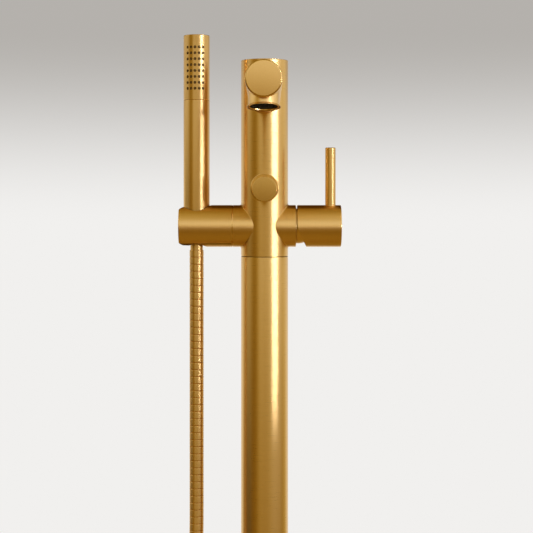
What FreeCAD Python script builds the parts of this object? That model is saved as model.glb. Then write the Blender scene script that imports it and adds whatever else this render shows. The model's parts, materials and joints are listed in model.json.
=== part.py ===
"""Floor-standing tub filler: column mixer with side lever, fixed spout, diverter knob and hand shower.

Frame: millimetres, +Z up, origin on the floor under the column's axis. The spout points to -Y, the lever
side is +X and the handset side is -X.
"""
import FreeCAD, Part
import math
import os
from types import SimpleNamespace

import Sketcher
from FreeCAD import Placement, Rotation, Vector

SIZES = {
    # Clearances and small edges
    "fit_clearance": 0.1,
    "running_clearance": 0.05,
    "seat_clearance": 0.3,
    "edge_chamfer": 0.6,
    "seam_chamfer": 0.35,
    "overrun": 2.0,
    # Column
    "column_diameter": 45.0,
    "riser_wall": 2.5,
    # Heights: the arms above the floor, then each of the others from the arms or from the one before it
    "arm_height": 842.0,
    "seam_drop": 29.0,
    "diverter_rise": 35.0,
    "chamber_rise": 23.0,
    "spout_rise": 63.0,
    "spout_headroom": 37.0,
    "lever_rise": 75.0,
    "hose_end_drop": 17.0,
    "elbow_drop": 31.0,
    # Floor flange and cover
    "flange_diameter": 112.0,
    "flange_thickness": 8.0,
    "bolt_circle_diameter": 88.0,
    "bolt_hole_diameter": 7.0,
    "flange_spigot_height": 28.0,
    "clamp_screw_diameter": 5.0,
    "clamp_screw_height": 13.0,
    "screw_socket_diameter": 2.5,
    "cover_diameter": 130.0,
    "cover_height": 20.0,
    "cover_wall": 2.5,
    "cover_edge_radius": 4.0,
    "cover_collar_wall": 3.2,
    "cover_collar_height": 8.0,
    "cover_clearance": 0.3,
    "cover_seal_wire": 1.6,
    # Water supply inside the riser
    "inlet_pitch": 22.0,
    "inlet_thread_diameter": 15.0,
    "inlet_thread_depth": 14.0,
    "supply_pipe_diameter": 12.0,
    "supply_pipe_wall": 1.0,
    "pipe_seat_depth": 10.0,
    "pipe_seal_wire": 1.8,
    "pipe_spacer_height": 420.0,
    "pipe_spacer_thickness": 8.0,
    # Mixer body
    "body_spigot_length": 20.0,
    "body_seal_wire": 1.7,
    "arm_diameter": 40.0,
    "stub_reach": 30.0,
    "arm_fillet": 1.2,
    "chamber_diameter": 36.0,
    "waterway_diameter": 8.0,
    "top_cap_diameter": 40.0,
    "top_cap_thickness": 6.0,
    "top_cap_seal_wire": 1.6,
    # Spout
    "spout_diameter": 30.0,
    "spout_wall": 2.0,
    "spout_reach": 220.0,
    "spout_root": 28.0,
    "spout_spigot_diameter": 24.0,
    "spout_spigot_start": 15.0,
    "spout_spigot_bore": 19.0,
    "spout_seal_wire": 1.2,
    "spout_seal_inset": 2.5,
    "spout_cap_thickness": 3.0,
    "spout_cap_plug": 5.0,
    # Water outlet under the spout's end
    "outlet_inset": 15.5,
    "outlet_drop": 22.0,
    "outlet_tilt": 9.5,
    "collar_diameter": 24.5,
    "collar_thread_diameter": 22.0,
    "collar_thread_depth": 5.2,
    "collar_bore": 16.0,
    "lip_diameter": 27.5,
    "lip_thickness": 1.6,
    "aerator_bore": 19.6,
    "aerator_mouth": 21.6,
    "aerator_sleeve_length": 3.6,
    "aerator_recess": 1.0,
    "aerator_thickness": 2.5,
    "aerator_hole_diameter": 1.7,
    "aerator_hole_pitch": 2.7,
    "aerator_washer_thickness": 1.5,
    # Mixing cartridge in the right stub
    "cartridge_seat": 6.0,
    "cartridge_diameter": 28.0,
    "cartridge_length": 16.0,
    "cartridge_wall": 1.8,
    "cartridge_base": 3.0,
    "cartridge_port_diameter": 5.6,
    "cartridge_port_radius": 7.5,
    "cartridge_seal_wire": 1.2,
    "disc_thickness": 3.0,
    "moving_disc_diameter": 17.6,
    "moving_disc_pocket": 9.0,
    "disc_rest_offset": 2.6,
    "disc_carrier_thickness": 3.5,
    "carrier_flange_thickness": 2.8,
    "carrier_neck_diameter": 18.6,
    "carrier_reach": 36.5,
    "stem_slot_height": 15.2,
    "pivot_reach": 32.0,
    "pivot_pin_diameter": 3.0,
    "pivot_pin_length": 17.0,
    "stem_square": 6.0,
    "stem_square_start": 25.0,
    "stem_reach": 58.0,
    "stem_tail_diameter": 4.8,
    "stem_ball_diameter": 5.2,
    "stem_side_clearance": 0.2,
    "nut_diameter": 31.0,
    "nut_thickness": 7.0,
    "nut_bore": 19.4,
    "dome_diameter": 33.4,
    "dome_wall": 1.5,
    "dome_opening": 21.0,
    "dome_collar_length": 1.0,
    # Lever
    "hub_gap": 1.2,
    "hub_reach": 73.0,
    "hub_cavity_diameter": 34.2,
    "hub_cavity_reach": 66.0,
    "hub_boss_diameter": 18.0,
    "hub_boss_start": 50.0,
    "hub_socket_end": 59.0,
    "notch_start": 2.5,
    "notch_depth": 8.8,
    "lever_offset": 63.0,
    "lever_diameter": 10.0,
    "lever_edge_radius": 0.8,
    "lever_thread_diameter": 6.0,
    "lever_thread_length": 6.0,
    "grub_offset": 54.5,
    "grub_diameter": 5.0,
    "plug_inset": 0.2,
    # Diverter
    "diverter_bore": 18.0,
    "diverter_seat": 6.0,
    "diverter_port_diameter": 10.0,
    "bush_inner": 8.0,
    "bush_outer": 21.5,
    "bush_spring_seat": 17.0,
    "bush_spring_bore": 12.4,
    "bush_port": 13.0,
    "bush_port_diameter": 6.0,
    "spindle_diameter": 8.0,
    "spindle_reach": 40.0,
    "spindle_seal_wire": 1.2,
    "valve_diameter": 16.8,
    "valve_thickness": 3.0,
    "valve_back": 4.5,
    "valve_washer_diameter": 15.0,
    "valve_washer_thickness": 1.4,
    "spring_wire": 0.8,
    "spring_diameter": 10.4,
    "knob_back": 24.5,
    "knob_reach": 45.0,
    "knob_diameter": 23.0,
    "knob_screw_reach": 34.0,
    "knob_screw_diameter": 4.0,
    # Handset holder
    "holder_reach": 81.5,
    "holder_stud_diameter": 12.0,
    "holder_stud_depth": 14.0,
    "holder_pin_diameter": 3.0,
    "holder_pin_depth": 6.0,
    "holder_pin_rise": 12.5,
    "handset_offset": 65.0,
    "socket_diameter": 26.0,
    "socket_mouth_chamfer": 1.0,
    "socket_cone_rise": 8.0,
    "socket_cone_drop": 16.0,
    "socket_outlet_diameter": 20.4,
    "slot_width": 14.4,
    "slot_mouth_width": 17.4,
    # Handset
    "handset_diameter": 25.0,
    "handset_wall": 2.0,
    "handset_foot_rise": 6.0,
    "handle_length": 114.0,
    "head_length": 62.0,
    "head_spigot_length": 12.0,
    "head_spigot_wall": 1.2,
    "head_wall": 1.9,
    "head_top_wall": 2.5,
    "nozzle_hole_diameter": 2.4,
    "nozzle_nub_diameter": 2.0,
    "nozzle_nub_inset": 0.15,
    "nozzle_row_first": 12.0,
    "nozzle_row_last": 10.8,
    "nozzle_strip_wall": 1.3,
    "nozzle_strip_margin": 5.0,
    "handset_inlet_plug": 14.0,
    "handset_thread_diameter": 19.8,
    "handset_thread_length": 9.0,
    "handset_bore": 10.0,
    "hose_washer_thickness": 2.0,
    # Hose, its nuts and tails
    "hose_diameter": 13.5,
    "hose_bore": 8.0,
    "hose_rib_depth": 0.9,
    "tail_flange_diameter": 17.0,
    "tail_flange_thickness": 2.0,
    "tail_stem_diameter": 13.8,
    "nut_stem_bore": 14.6,
    "cone_nut_foot": 1.0,
    "hex_nut_flats": 24.0,
    "hex_nut_foot": 3.0,
    "hex_nut_length": 28.0,
    # Hose outlet behind the column
    "hose_outlet_reach": 58.0,
    "elbow_diameter": 18.0,
    "elbow_bore": 12.0,
    "elbow_bend_radius": 15.0,
    "elbow_spigot_diameter": 16.0,
    "elbow_spigot_start": 14.0,
    "check_valve_diameter": 13.6,
    "check_valve_length": 12.0,
    "check_valve_wall": 1.6,
}

# Counts and angles that aren't lengths
BOLT_COUNT = 4
CLAMP_SCREW_COUNT = 3
NOZZLE_ROW_COUNT = 8
NOZZLE_COLUMN_COUNT = 5
NOZZLE_COLUMN_ANGLE = 18.0
NOZZLE_CENTRE_ANGLE = -94.0
AERATOR_RING_COUNT = 3
AERATOR_FIRST_RING_COUNT = 6
NUT_SIDE_COUNT = 6
QUARTER_TURN = 90.0
SPRING_TURN_COUNT = 6
HOSE_RIB_COUNT = 200
# Places of a rib's four circles along its pitch
HOSE_RIB_SHARES = (0.0, 0.14, 0.80, 0.94)
# Share of the shorter run that a bend of the hose takes up on each side of its point
HOSE_BEND_SHARE = 0.45
# Route of the hose from the handset to the outlet behind the column, in the upright plane through both:
# distance from the handset's axis, then height
HOSE_ROUTE = (
    (0, 825),
    (0, 530),
    (-8, 365),
    (-23, 257),
    (-37, 190),
    (-10, 140),
    (43.5, 120),
    (97, 140),
    (124, 190),
    (110, 257),
    (99, 365),
    (92, 500),
    (88.5, 640),
    (87.1, 735),
    (87.1, 825),
)

FACINGS = {
    "+Z": (Vector(1, 0, 0), 0),
    "-Z": (Vector(1, 0, 0), 180),
    "+X": (Vector(0, 1, 0), 90),
    "-X": (Vector(0, 1, 0), -90),
    "+Y": (Vector(1, 0, 0), -90),
    "-Y": (Vector(1, 0, 0), 90),
}


class Size:
    """A size that carries its number and the sheet expression that it is bound to."""

    def __init__(self, number, text):
        self.number = float(number)
        self.text = text

    def _with(self, other, sign, swap=False):
        other = as_size(other)
        a, b = (other, self) if swap else (self, other)
        results = {"+": a.number + b.number, "-": a.number - b.number, "*": a.number * b.number}
        number = results[sign] if sign in results else a.number / b.number
        return Size(number, "(%s %s %s)" % (a.text, sign, b.text))

    def __add__(self, other):
        return self._with(other, "+")

    def __radd__(self, other):
        return self._with(other, "+", swap=True)

    def __sub__(self, other):
        return self._with(other, "-")

    def __rsub__(self, other):
        return self._with(other, "-", swap=True)

    def __mul__(self, other):
        return self._with(other, "*")

    def __rmul__(self, other):
        return self._with(other, "*", swap=True)

    def __truediv__(self, other):
        return self._with(other, "/")

    def __neg__(self):
        return Size(0, "0") - self

    def __float__(self):
        return self.number


def as_size(value):
    return value if isinstance(value, Size) else Size(value, repr(float(value)))


doc = FreeCAD.newDocument("tub_filler")
sheet = doc.addObject("Spreadsheet::Sheet", "Sizes")
for row, (size_name, size_value) in enumerate(SIZES.items(), start=1):
    sheet.set("A%d" % row, size_name)
    sheet.set("B%d" % row, str(size_value))
    sheet.setAlias("B%d" % row, size_name)
doc.recompute()
dim = SimpleNamespace(**{name: Size(sheet.get(name), "Sizes." + name) for name in SIZES})


# Construction helpers


def bind(item, path, value):
    """Ties one property of an object to the sheet."""
    if isinstance(value, Size):
        item.setExpression(path, value.text)


def place(item, at, facing="+Z"):
    """Puts an object's own origin at a point, with its own Z axis facing a given way."""
    axis, angle = FACINGS[facing]
    item.Placement = Placement(Vector(*[float(value) for value in at]), Rotation(axis, angle))
    for letter, value in zip("xyz", at):
        bind(item, "Placement.Base." + letter, value)
    return item


def rod(name, diameter, length, at, facing="+Z"):
    """A plain cylinder that starts at a point and runs the way it faces."""
    item = doc.addObject("Part::Cylinder", name)
    bind(item, "Radius", diameter / 2)
    bind(item, "Height", length)
    return place(item, at, facing)


def seal_ring(name, inner_diameter, wire, at, facing="+Z"):
    """A round-section ring whose middle lies at a point."""
    item = doc.addObject("Part::Torus", name)
    bind(item, "Radius1", (inner_diameter + wire) / 2)
    bind(item, "Radius2", wire / 2)
    return place(item, at, facing)


def block(name, length, width, height, at):
    """A box with its lowest corner at a point."""
    item = doc.addObject("Part::Box", name)
    bind(item, "Length", length)
    bind(item, "Width", width)
    bind(item, "Height", height)
    return place(item, at)


def ball(name, diameter, at):
    item = doc.addObject("Part::Sphere", name)
    bind(item, "Radius", diameter / 2)
    return place(item, at)


def arc_between(start, end, radius):
    """The short arc between two points of a sketch, bulging to the right of the way it runs."""
    chord = end - start
    middle = (start + end) * 0.5
    side = Vector(-chord.y, chord.x, 0)
    side.normalize()
    reach = math.sqrt(max(radius * radius - (chord.Length / 2) ** 2, 0))
    centre = middle + side * reach
    circle = Part.Circle(centre, Vector(0, 0, 1), radius)
    return Part.ArcOfCircle(circle, circle.parameter(start), circle.parameter(end))


def outline_sketch(body, outline, role):
    """A closed outline with every point tied to the sheet; a third entry is the radius of a round corner."""
    plane = [feature for feature in body.Origin.OriginFeatures if feature.Role == role][0]
    sketch = body.newObject("Sketcher::SketchObject", body.Name + "_outline")
    sketch.AttachmentSupport = [(plane, "")]
    sketch.MapMode = "FlatFace"
    points = [Vector(float(entry[0]), float(entry[1]), 0) for entry in outline]
    count = len(outline)
    for index, entry in enumerate(outline):
        start, end = points[index - 1], points[index]
        if len(entry) > 2:
            sketch.addGeometry(arc_between(start, end, float(entry[2])), False)
        else:
            sketch.addGeometry(Part.LineSegment(start, end), False)
    for index, entry in enumerate(outline):
        following = (index + 1) % count
        sketch.addConstraint(Sketcher.Constraint("Coincident", index, 2, following, 1))
        for kind, value in (("DistanceX", entry[0]), ("DistanceY", entry[1])):
            number = sketch.addConstraint(Sketcher.Constraint(kind, -1, 1, index, 2, float(value)))
            bind(sketch, "Constraints[%d]" % number, value)
        if len(entry) > 2:
            number = sketch.addConstraint(Sketcher.Constraint("Radius", index, float(entry[2])))
            bind(sketch, "Constraints[%d]" % number, entry[2])
    return sketch


def turned(name, outline, at, facing="+Z"):
    """A turned piece: half outline of (radius, distance along its axis), spun round that axis."""
    body = doc.addObject("PartDesign::Body", name)
    sketch = outline_sketch(body, outline, "XZ_Plane")
    spin = body.newObject("PartDesign::Revolution", name + "_spin")
    spin.Profile = sketch
    spin.ReferenceAxis = (sketch, ["V_Axis"])
    return place(body, at, facing)


def padded(name, outline, thickness, at, role):
    """A flat outline given an even thickness on both sides of its plane."""
    body = doc.addObject("PartDesign::Body", name)
    pad = body.newObject("PartDesign::Pad", name + "_pad")
    pad.Profile = outline_sketch(body, outline, role)
    pad.SideType = "Symmetric"
    bind(pad, "Length", thickness)
    return place(body, at)


def fused(name, *shapes):
    item = doc.addObject("Part::MultiFuse", name)
    item.Shapes = list(shapes)
    return item


def less(name, base, *tools):
    """What is left of a piece after its cuts."""
    item = doc.addObject("Part::Cut", name)
    item.Base = base
    item.Tool = tools[0] if len(tools) == 1 else fused(name + "_cuts", *tools)
    return item


def common(name, first, second):
    item = doc.addObject("Part::Common", name)
    item.Base = first
    item.Tool = second
    return item


def group(name, *shapes):
    """Several separate solids under one name."""
    item = doc.addObject("Part::Compound", name)
    item.Links = list(shapes)
    return item


def tube(name, outer, inner, length, at, facing="+Z"):
    """A plain tube as a turned piece."""
    outline = [(inner / 2, 0), (outer / 2, 0), (outer / 2, length), (inner / 2, length)]
    return turned(name, outline, at, facing)


def around(count):
    """Even steps round a circle, as pairs of cosine and sine."""
    return [(math.cos(step), math.sin(step)) for step in (2 * math.pi * n / count for n in range(count))]


# Sizes that several pieces share

seam_height = dim.arm_height - dim.seam_drop
diverter_height = dim.arm_height + dim.diverter_rise
chamber_floor = diverter_height + dim.chamber_rise
spout_height = chamber_floor + dim.spout_rise
column_top = spout_height + dim.spout_headroom
lever_top = dim.arm_height + dim.lever_rise
hose_end_height = dim.arm_height - dim.hose_end_drop
elbow_foot_height = diverter_height - dim.elbow_drop
column_radius = dim.column_diameter / 2
riser_bore = dim.column_diameter - dim.riser_wall * 2
spigot_diameter = riser_bore - dim.fit_clearance * 2
flange_top = dim.flange_thickness + dim.flange_spigot_height
pipe_bottom = flange_top - dim.pipe_seat_depth
body_bottom = seam_height - dim.body_spigot_length
pipe_top = body_bottom + dim.pipe_seat_depth
inlet_place = dim.inlet_pitch / 2
pipe_seat_diameter = dim.supply_pipe_diameter + dim.fit_clearance * 2
pipe_recess_diameter = dim.supply_pipe_diameter + dim.pipe_seal_wire * 2 + dim.fit_clearance * 2
arm_radius = dim.arm_diameter / 2
cartridge_end = dim.cartridge_seat + dim.cartridge_length
cartridge_bore = dim.cartridge_diameter - dim.cartridge_wall * 2
disc_face = dim.cartridge_seat + dim.cartridge_base
moving_face = disc_face + dim.disc_thickness + dim.running_clearance
disc_carrier_face = moving_face + dim.disc_thickness
ball_reach = disc_carrier_face + dim.stem_ball_diameter / 2 + dim.seat_clearance
hub_start = dim.stub_reach + dim.hub_gap
handset_foot = dim.arm_height + dim.handset_foot_rise
handset_seam = handset_foot + dim.handle_length
handset_top = handset_seam + dim.head_length
handset_thread_foot = handset_foot - dim.handset_thread_length
handset_inner = dim.handset_diameter - dim.handset_wall * 2
socket_shoulder = dim.arm_height + dim.socket_cone_rise
socket_outlet = dim.arm_height - dim.socket_cone_drop
nozzle_field = dim.head_length - dim.nozzle_row_first - dim.nozzle_row_last
nozzle_row_pitch = nozzle_field / (NOZZLE_ROW_COUNT - 1)
nut_thread_diameter = dim.handset_thread_diameter + dim.fit_clearance * 2
outlet_reach = dim.spout_reach - dim.outlet_inset
outlet_height = spout_height - dim.outlet_drop


# Floor flange, cover and riser


def base_flange():
    """Floor flange with a spigot for the riser, two threaded inlets below and four bolt holes."""
    radius = dim.flange_diameter / 2
    blank = turned(
        "base_flange_blank",
        [
            (0, 0),
            (radius, 0),
            (radius, dim.flange_thickness - dim.edge_chamfer),
            (radius - dim.edge_chamfer, dim.flange_thickness),
            (spigot_diameter / 2, dim.flange_thickness),
            (spigot_diameter / 2, flange_top - dim.edge_chamfer),
            (spigot_diameter / 2 - dim.edge_chamfer, flange_top),
            (0, flange_top),
        ],
        (0, 0, 0),
    )
    cuts = []
    for side in (-1, 1):
        spot = (0, inlet_place * side, 0)
        seat = (0, inlet_place * side, pipe_bottom)
        recess = (0, inlet_place * side, flange_top - dim.pipe_seal_wire)
        cuts.append(rod("inlet_thread", dim.inlet_thread_diameter, dim.inlet_thread_depth, spot))
        cuts.append(rod("inlet_way", dim.waterway_diameter, flange_top, spot))
        cuts.append(rod("pipe_seat", pipe_seat_diameter, dim.pipe_seat_depth + dim.overrun, seat))
        cuts.append(rod("pipe_recess", pipe_recess_diameter, dim.pipe_seal_wire + dim.overrun, recess))
    for cosine, sine in around(BOLT_COUNT):
        reach = dim.bolt_circle_diameter / 2
        cuts.append(rod("bolt_hole", dim.bolt_hole_diameter, flange_top, (reach * cosine, reach * sine, 0)))
    return less("base_flange", blank, *cuts)


def cover_bore():
    return dim.column_diameter + dim.cover_clearance * 2


def base_cover():
    """Shallow floor cover: skirt, rounded edge, and a grooved collar round the riser."""
    outer = dim.cover_diameter / 2
    inner = outer - dim.cover_wall
    bore = cover_bore() / 2
    collar = bore + dim.cover_collar_wall
    collar_foot = dim.cover_height - dim.cover_collar_height
    groove = column_radius + dim.running_clearance * 2 + dim.cover_seal_wire
    groove_middle = dim.cover_height - dim.cover_collar_height / 2
    half = dim.cover_seal_wire / 2 + dim.fit_clearance
    return turned(
        "base_cover",
        [
            (inner, 0),
            (outer, 0),
            (outer, dim.cover_height - dim.cover_edge_radius),
            (outer - dim.cover_edge_radius, dim.cover_height, dim.cover_edge_radius),
            (bore + dim.edge_chamfer, dim.cover_height),
            (bore, dim.cover_height - dim.edge_chamfer),
            (bore, groove_middle + half),
            (groove, groove_middle + half),
            (groove, groove_middle - half),
            (bore, groove_middle - half),
            (bore, collar_foot),
            (collar, collar_foot),
            (collar, dim.cover_height - dim.cover_wall),
            (inner, dim.cover_height - dim.cover_wall),
        ],
        (0, 0, 0),
    )


def cover_seal():
    middle = dim.cover_height - dim.cover_collar_height / 2
    inner = dim.column_diameter + dim.running_clearance * 2
    return seal_ring("cover_seal", inner, dim.cover_seal_wire, (0, 0, middle))


def riser_tube():
    """Lower column tube on the flange, with holes for its clamp screws."""
    length = seam_height - dim.flange_thickness
    blank = turned(
        "riser_tube_blank",
        [
            (riser_bore / 2, 0),
            (column_radius, 0),
            (column_radius, length - dim.seam_chamfer),
            (column_radius - dim.seam_chamfer, length),
            (riser_bore / 2, length),
        ],
        (0, 0, dim.flange_thickness),
    )
    hole = dim.clamp_screw_diameter + dim.fit_clearance * 2
    reach = column_radius + dim.overrun
    return less("riser_tube", blank, *radial_rods("clamp_hole", hole, reach, dim.clamp_screw_height))


def radial_rods(name, diameter, reach, height):
    """Cylinders from the column's axis outwards, evenly round it."""
    rods = []
    for cosine, sine in around(CLAMP_SCREW_COUNT):
        item = rod(name, diameter, reach, (0, 0, height))
        item.Placement.Rotation = Rotation(Vector(0, 0, 1), Vector(cosine, sine, 0))
        rods.append(item)
    return rods


def riser_screws():
    """Socket grub screws in the riser's wall, flush with it and resting on the flange spigot."""
    screws = []
    start = spigot_diameter / 2
    length = column_radius - start - dim.running_clearance
    for cosine, sine in around(CLAMP_SCREW_COUNT):
        spot = (start * cosine, start * sine, dim.clamp_screw_height)
        screw = grub_screw("riser_screw", dim.clamp_screw_diameter, length, spot)
        screw.Placement.Rotation = Rotation(Vector(0, 0, 1), Vector(cosine, sine, 0))
        screws.append(screw)
    shell = rod("riser_screw_core", spigot_diameter, flange_top, (0, 0, 0))
    return less("riser_screws", group("riser_screw_set", *screws), shell)


def grub_screw(name, diameter, length, at, facing="+Z"):
    """A headless screw with a round-bottomed socket in its outer end."""
    socket = dim.screw_socket_diameter / 2
    return turned(
        name,
        [
            (0, 0),
            (diameter / 2, 0),
            (diameter / 2, length),
            (socket, length),
            (socket, length / 2),
            (0, length / 2),
        ],
        at,
        facing,
    )


# Water supply


def supply_pipe(name, side):
    inner = dim.supply_pipe_diameter - dim.supply_pipe_wall * 2
    spot = (0, inlet_place * side, pipe_bottom)
    return tube(name, dim.supply_pipe_diameter, inner, pipe_top - pipe_bottom, spot)


def pipe_seals():
    """A ring in the recess at each end of both supply pipes."""
    inner = dim.supply_pipe_diameter + dim.running_clearance * 2
    rings = []
    for side in (-1, 1):
        for height in (flange_top - dim.pipe_seal_wire / 2, body_bottom + dim.pipe_seal_wire / 2):
            rings.append(seal_ring("pipe_seal", inner, dim.pipe_seal_wire, (0, inlet_place * side, height)))
    return group("pipe_seals", *rings)


def pipe_spacer():
    """Disc that keeps the two pipes apart halfway up the riser."""
    spot = (0, 0, dim.pipe_spacer_height)
    blank = rod("pipe_spacer_blank", spigot_diameter, dim.pipe_spacer_thickness, spot)
    holes = []
    for side in (-1, 1):
        start = (0, inlet_place * side, dim.pipe_spacer_height)
        holes.append(rod("pipe_spacer_hole", pipe_seat_diameter, dim.pipe_spacer_thickness, start))
    return less("pipe_spacer", blank, *holes)


# Mixer body


def body_groove():
    """Depth and half height of the seal groove in the body's lower spigot."""
    floor = spigot_diameter / 2 - dim.body_seal_wire + dim.fit_clearance
    return floor, dim.body_seal_wire / 2 + dim.fit_clearance


def body_outside():
    """Upper column and both stubs in one casting, with a small round where they meet."""
    upright = rod("body_column", dim.column_diameter, column_top - seam_height, (0, 0, seam_height))
    start = (-dim.stub_reach, 0, dim.arm_height)
    crossing = rod("body_stubs", dim.arm_diameter, dim.stub_reach * 2, start, "+X")
    cross = fused("body_cross", upright, crossing)
    doc.recompute()
    rounded = doc.addObject("Part::Fillet", "body_rounded")
    rounded.Base = cross
    meeting = [
        number
        for number, edge in enumerate(cross.Shape.Edges, start=1)
        if isinstance(edge.Curve, Part.BSplineCurve)
    ]
    rounded.Edges = [(number, float(dim.arm_fillet), float(dim.arm_fillet)) for number in meeting]
    return rounded


def mixer_body():
    """Mixer casting: outside, lower spigot with seal groove, and every bore that takes a piece."""
    floor, half = body_groove()
    middle = dim.body_spigot_length / 2
    spigot = turned(
        "body_spigot",
        [
            (0, 0),
            (spigot_diameter / 2 - dim.edge_chamfer, 0),
            (spigot_diameter / 2, dim.edge_chamfer),
            (spigot_diameter / 2, middle - half),
            (floor, middle - half),
            (floor, middle + half),
            (spigot_diameter / 2, middle + half),
            (spigot_diameter / 2, dim.body_spigot_length + dim.overrun),
            (0, dim.body_spigot_length + dim.overrun),
        ],
        (0, 0, body_bottom),
    )
    outside = fused("body_blank", body_outside(), spigot)
    return less("mixer_body", outside, *body_edges(), *body_bores(), *body_waterways())


def body_edges():
    """Fine bevels: the seam above the riser, the column's top edge and both stub ends."""
    cuts = []
    for name, height, facing in (("seam_bevel", seam_height, "+Z"), ("top_bevel", column_top, "-Z")):
        cuts.append(edge_bevel(name, column_radius, dim.seam_chamfer, (0, 0, height), facing))
    for name, side, facing in (("left_bevel", -1, "+X"), ("right_bevel", 1, "-X")):
        spot = (dim.stub_reach * side, 0, dim.arm_height)
        cuts.append(edge_bevel(name, arm_radius, dim.seam_chamfer, spot, facing))
    return cuts


def edge_bevel(name, radius, bevel, at, facing):
    """Ring of triangular section that takes the corner off a round end."""
    return turned(name, [(radius - bevel, 0), (radius + bevel, 0), (radius + bevel, bevel * 2)], at, facing)


def body_bores():
    """Bores that take the top cap, spout, cartridge, diverter, holder, hose outlet and supply pipes."""
    right = (dim.cartridge_seat, 0, dim.arm_height)
    nut_seat = (cartridge_end, 0, dim.arm_height)
    left_end = (-dim.stub_reach - dim.overrun, 0, dim.arm_height)
    pin_spot = (-dim.stub_reach - dim.overrun, 0, dim.arm_height + dim.holder_pin_rise)
    cap_floor = column_top - dim.top_cap_thickness
    chamber_height = cap_floor - chamber_floor + dim.overrun
    front = (0, dim.diverter_seat, diverter_height)
    behind = (0, dim.elbow_spigot_start, diverter_height)
    across = dim.column_diameter
    fit = dim.fit_clearance * 2
    spout_front = (0, -dim.spout_spigot_start + dim.overrun, spout_height)
    bores = [
        rod("cap_seat", dim.top_cap_diameter + fit, dim.top_cap_thickness + dim.overrun, (0, 0, cap_floor)),
        rod("chamber", dim.chamber_diameter, chamber_height, (0, 0, chamber_floor)),
        rod("spout_bore", dim.spout_spigot_diameter + fit, across, spout_front, "-Y"),
        rod("cartridge_bore", dim.cartridge_diameter + fit, across, right, "+X"),
        rod("nut_bore", dim.nut_diameter + fit, across, nut_seat, "+X"),
        rod("diverter_bore", dim.diverter_bore + fit, across, front, "-Y"),
        rod("hose_port", dim.elbow_spigot_diameter + fit, across, behind, "+Y"),
        rod("stud_bore", dim.holder_stud_diameter + fit, dim.holder_stud_depth + dim.overrun, left_end, "+X"),
        rod("pin_bore", dim.holder_pin_diameter + fit, dim.holder_pin_depth + dim.overrun, pin_spot, "+X"),
    ]
    for side in (-1, 1):
        mouth = (0, inlet_place * side, body_bottom - dim.overrun)
        bores.append(rod("body_pipe_seat", pipe_seat_diameter, dim.pipe_seat_depth + dim.overrun, mouth))
        bores.append(rod("body_recess", pipe_recess_diameter, dim.pipe_seal_wire + dim.overrun, mouth))
    return bores


def body_waterways():
    """Drillings from the pipes to the cartridge, on to the diverter, and up to the spout."""
    port = dim.cartridge_port_diameter
    outlet = dim.arm_height + dim.cartridge_port_radius
    ways = []
    for side in (-1, 1):
        rise = (0, inlet_place * side, body_bottom)
        cross = (-dim.waterway_diameter / 2, dim.cartridge_port_radius * side, dim.arm_height)
        ways.append(rod("supply_rise", dim.waterway_diameter, dim.arm_height - body_bottom, rise))
        ways.append(rod("supply_cross", port, dim.cartridge_seat + dim.waterway_diameter, cross, "+X"))
    mixed = (-dim.waterway_diameter, 0, outlet)
    length = dim.cartridge_seat + dim.waterway_diameter + dim.overrun
    ways.append(rod("mixed_cross", port, length, mixed, "+X"))
    up = (-dim.cartridge_seat, 0, outlet)
    ways.append(rod("mixed_rise", dim.waterway_diameter, diverter_height - outlet, up))
    spout_rise = (0, -dim.bush_port, diverter_height)
    length = chamber_floor - diverter_height + dim.overrun
    ways.append(rod("spout_rise", dim.bush_port_diameter, length, spout_rise))
    hose_way = (0, 0, diverter_height)
    length = dim.elbow_spigot_start + dim.overrun
    ways.append(rod("hose_way", dim.diverter_port_diameter, length, hose_way, "+Y"))
    return ways


def body_seal():
    floor, half = body_groove()
    middle = (0, 0, body_bottom + dim.body_spigot_length / 2)
    return seal_ring("body_seal", floor * 2, dim.body_seal_wire, middle)


def top_cap():
    """Flat plug that closes the column, with a seal groove round its edge."""
    radius = dim.top_cap_diameter / 2
    floor = radius - dim.top_cap_seal_wire + dim.fit_clearance
    middle = dim.top_cap_thickness / 2
    half = dim.top_cap_seal_wire / 2 + dim.fit_clearance
    return turned(
        "top_cap",
        [
            (0, 0),
            (radius, 0),
            (radius, middle - half),
            (floor, middle - half),
            (floor, middle + half),
            (radius, middle + half),
            (radius, dim.top_cap_thickness - dim.seam_chamfer),
            (radius - dim.seam_chamfer, dim.top_cap_thickness),
            (0, dim.top_cap_thickness),
        ],
        (0, 0, column_top - dim.top_cap_thickness),
    )


def top_cap_seal():
    inner = dim.top_cap_diameter - dim.top_cap_seal_wire * 2 + dim.fit_clearance * 2
    middle = (0, 0, column_top - dim.top_cap_thickness / 2)
    return seal_ring("top_cap_seal", inner, dim.top_cap_seal_wire, middle)


# Spout and outlet


def spout_line(name, diameter, length, start):
    """Cylinder along the spout's axis, from a distance in front of the column's axis."""
    return rod(name, diameter, length, (0, -start, spout_height), "-Y")


def spout_groove():
    radius = dim.spout_spigot_diameter / 2
    return radius - dim.spout_seal_wire + dim.fit_clearance, dim.spout_seal_wire / 2 + dim.fit_clearance


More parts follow.
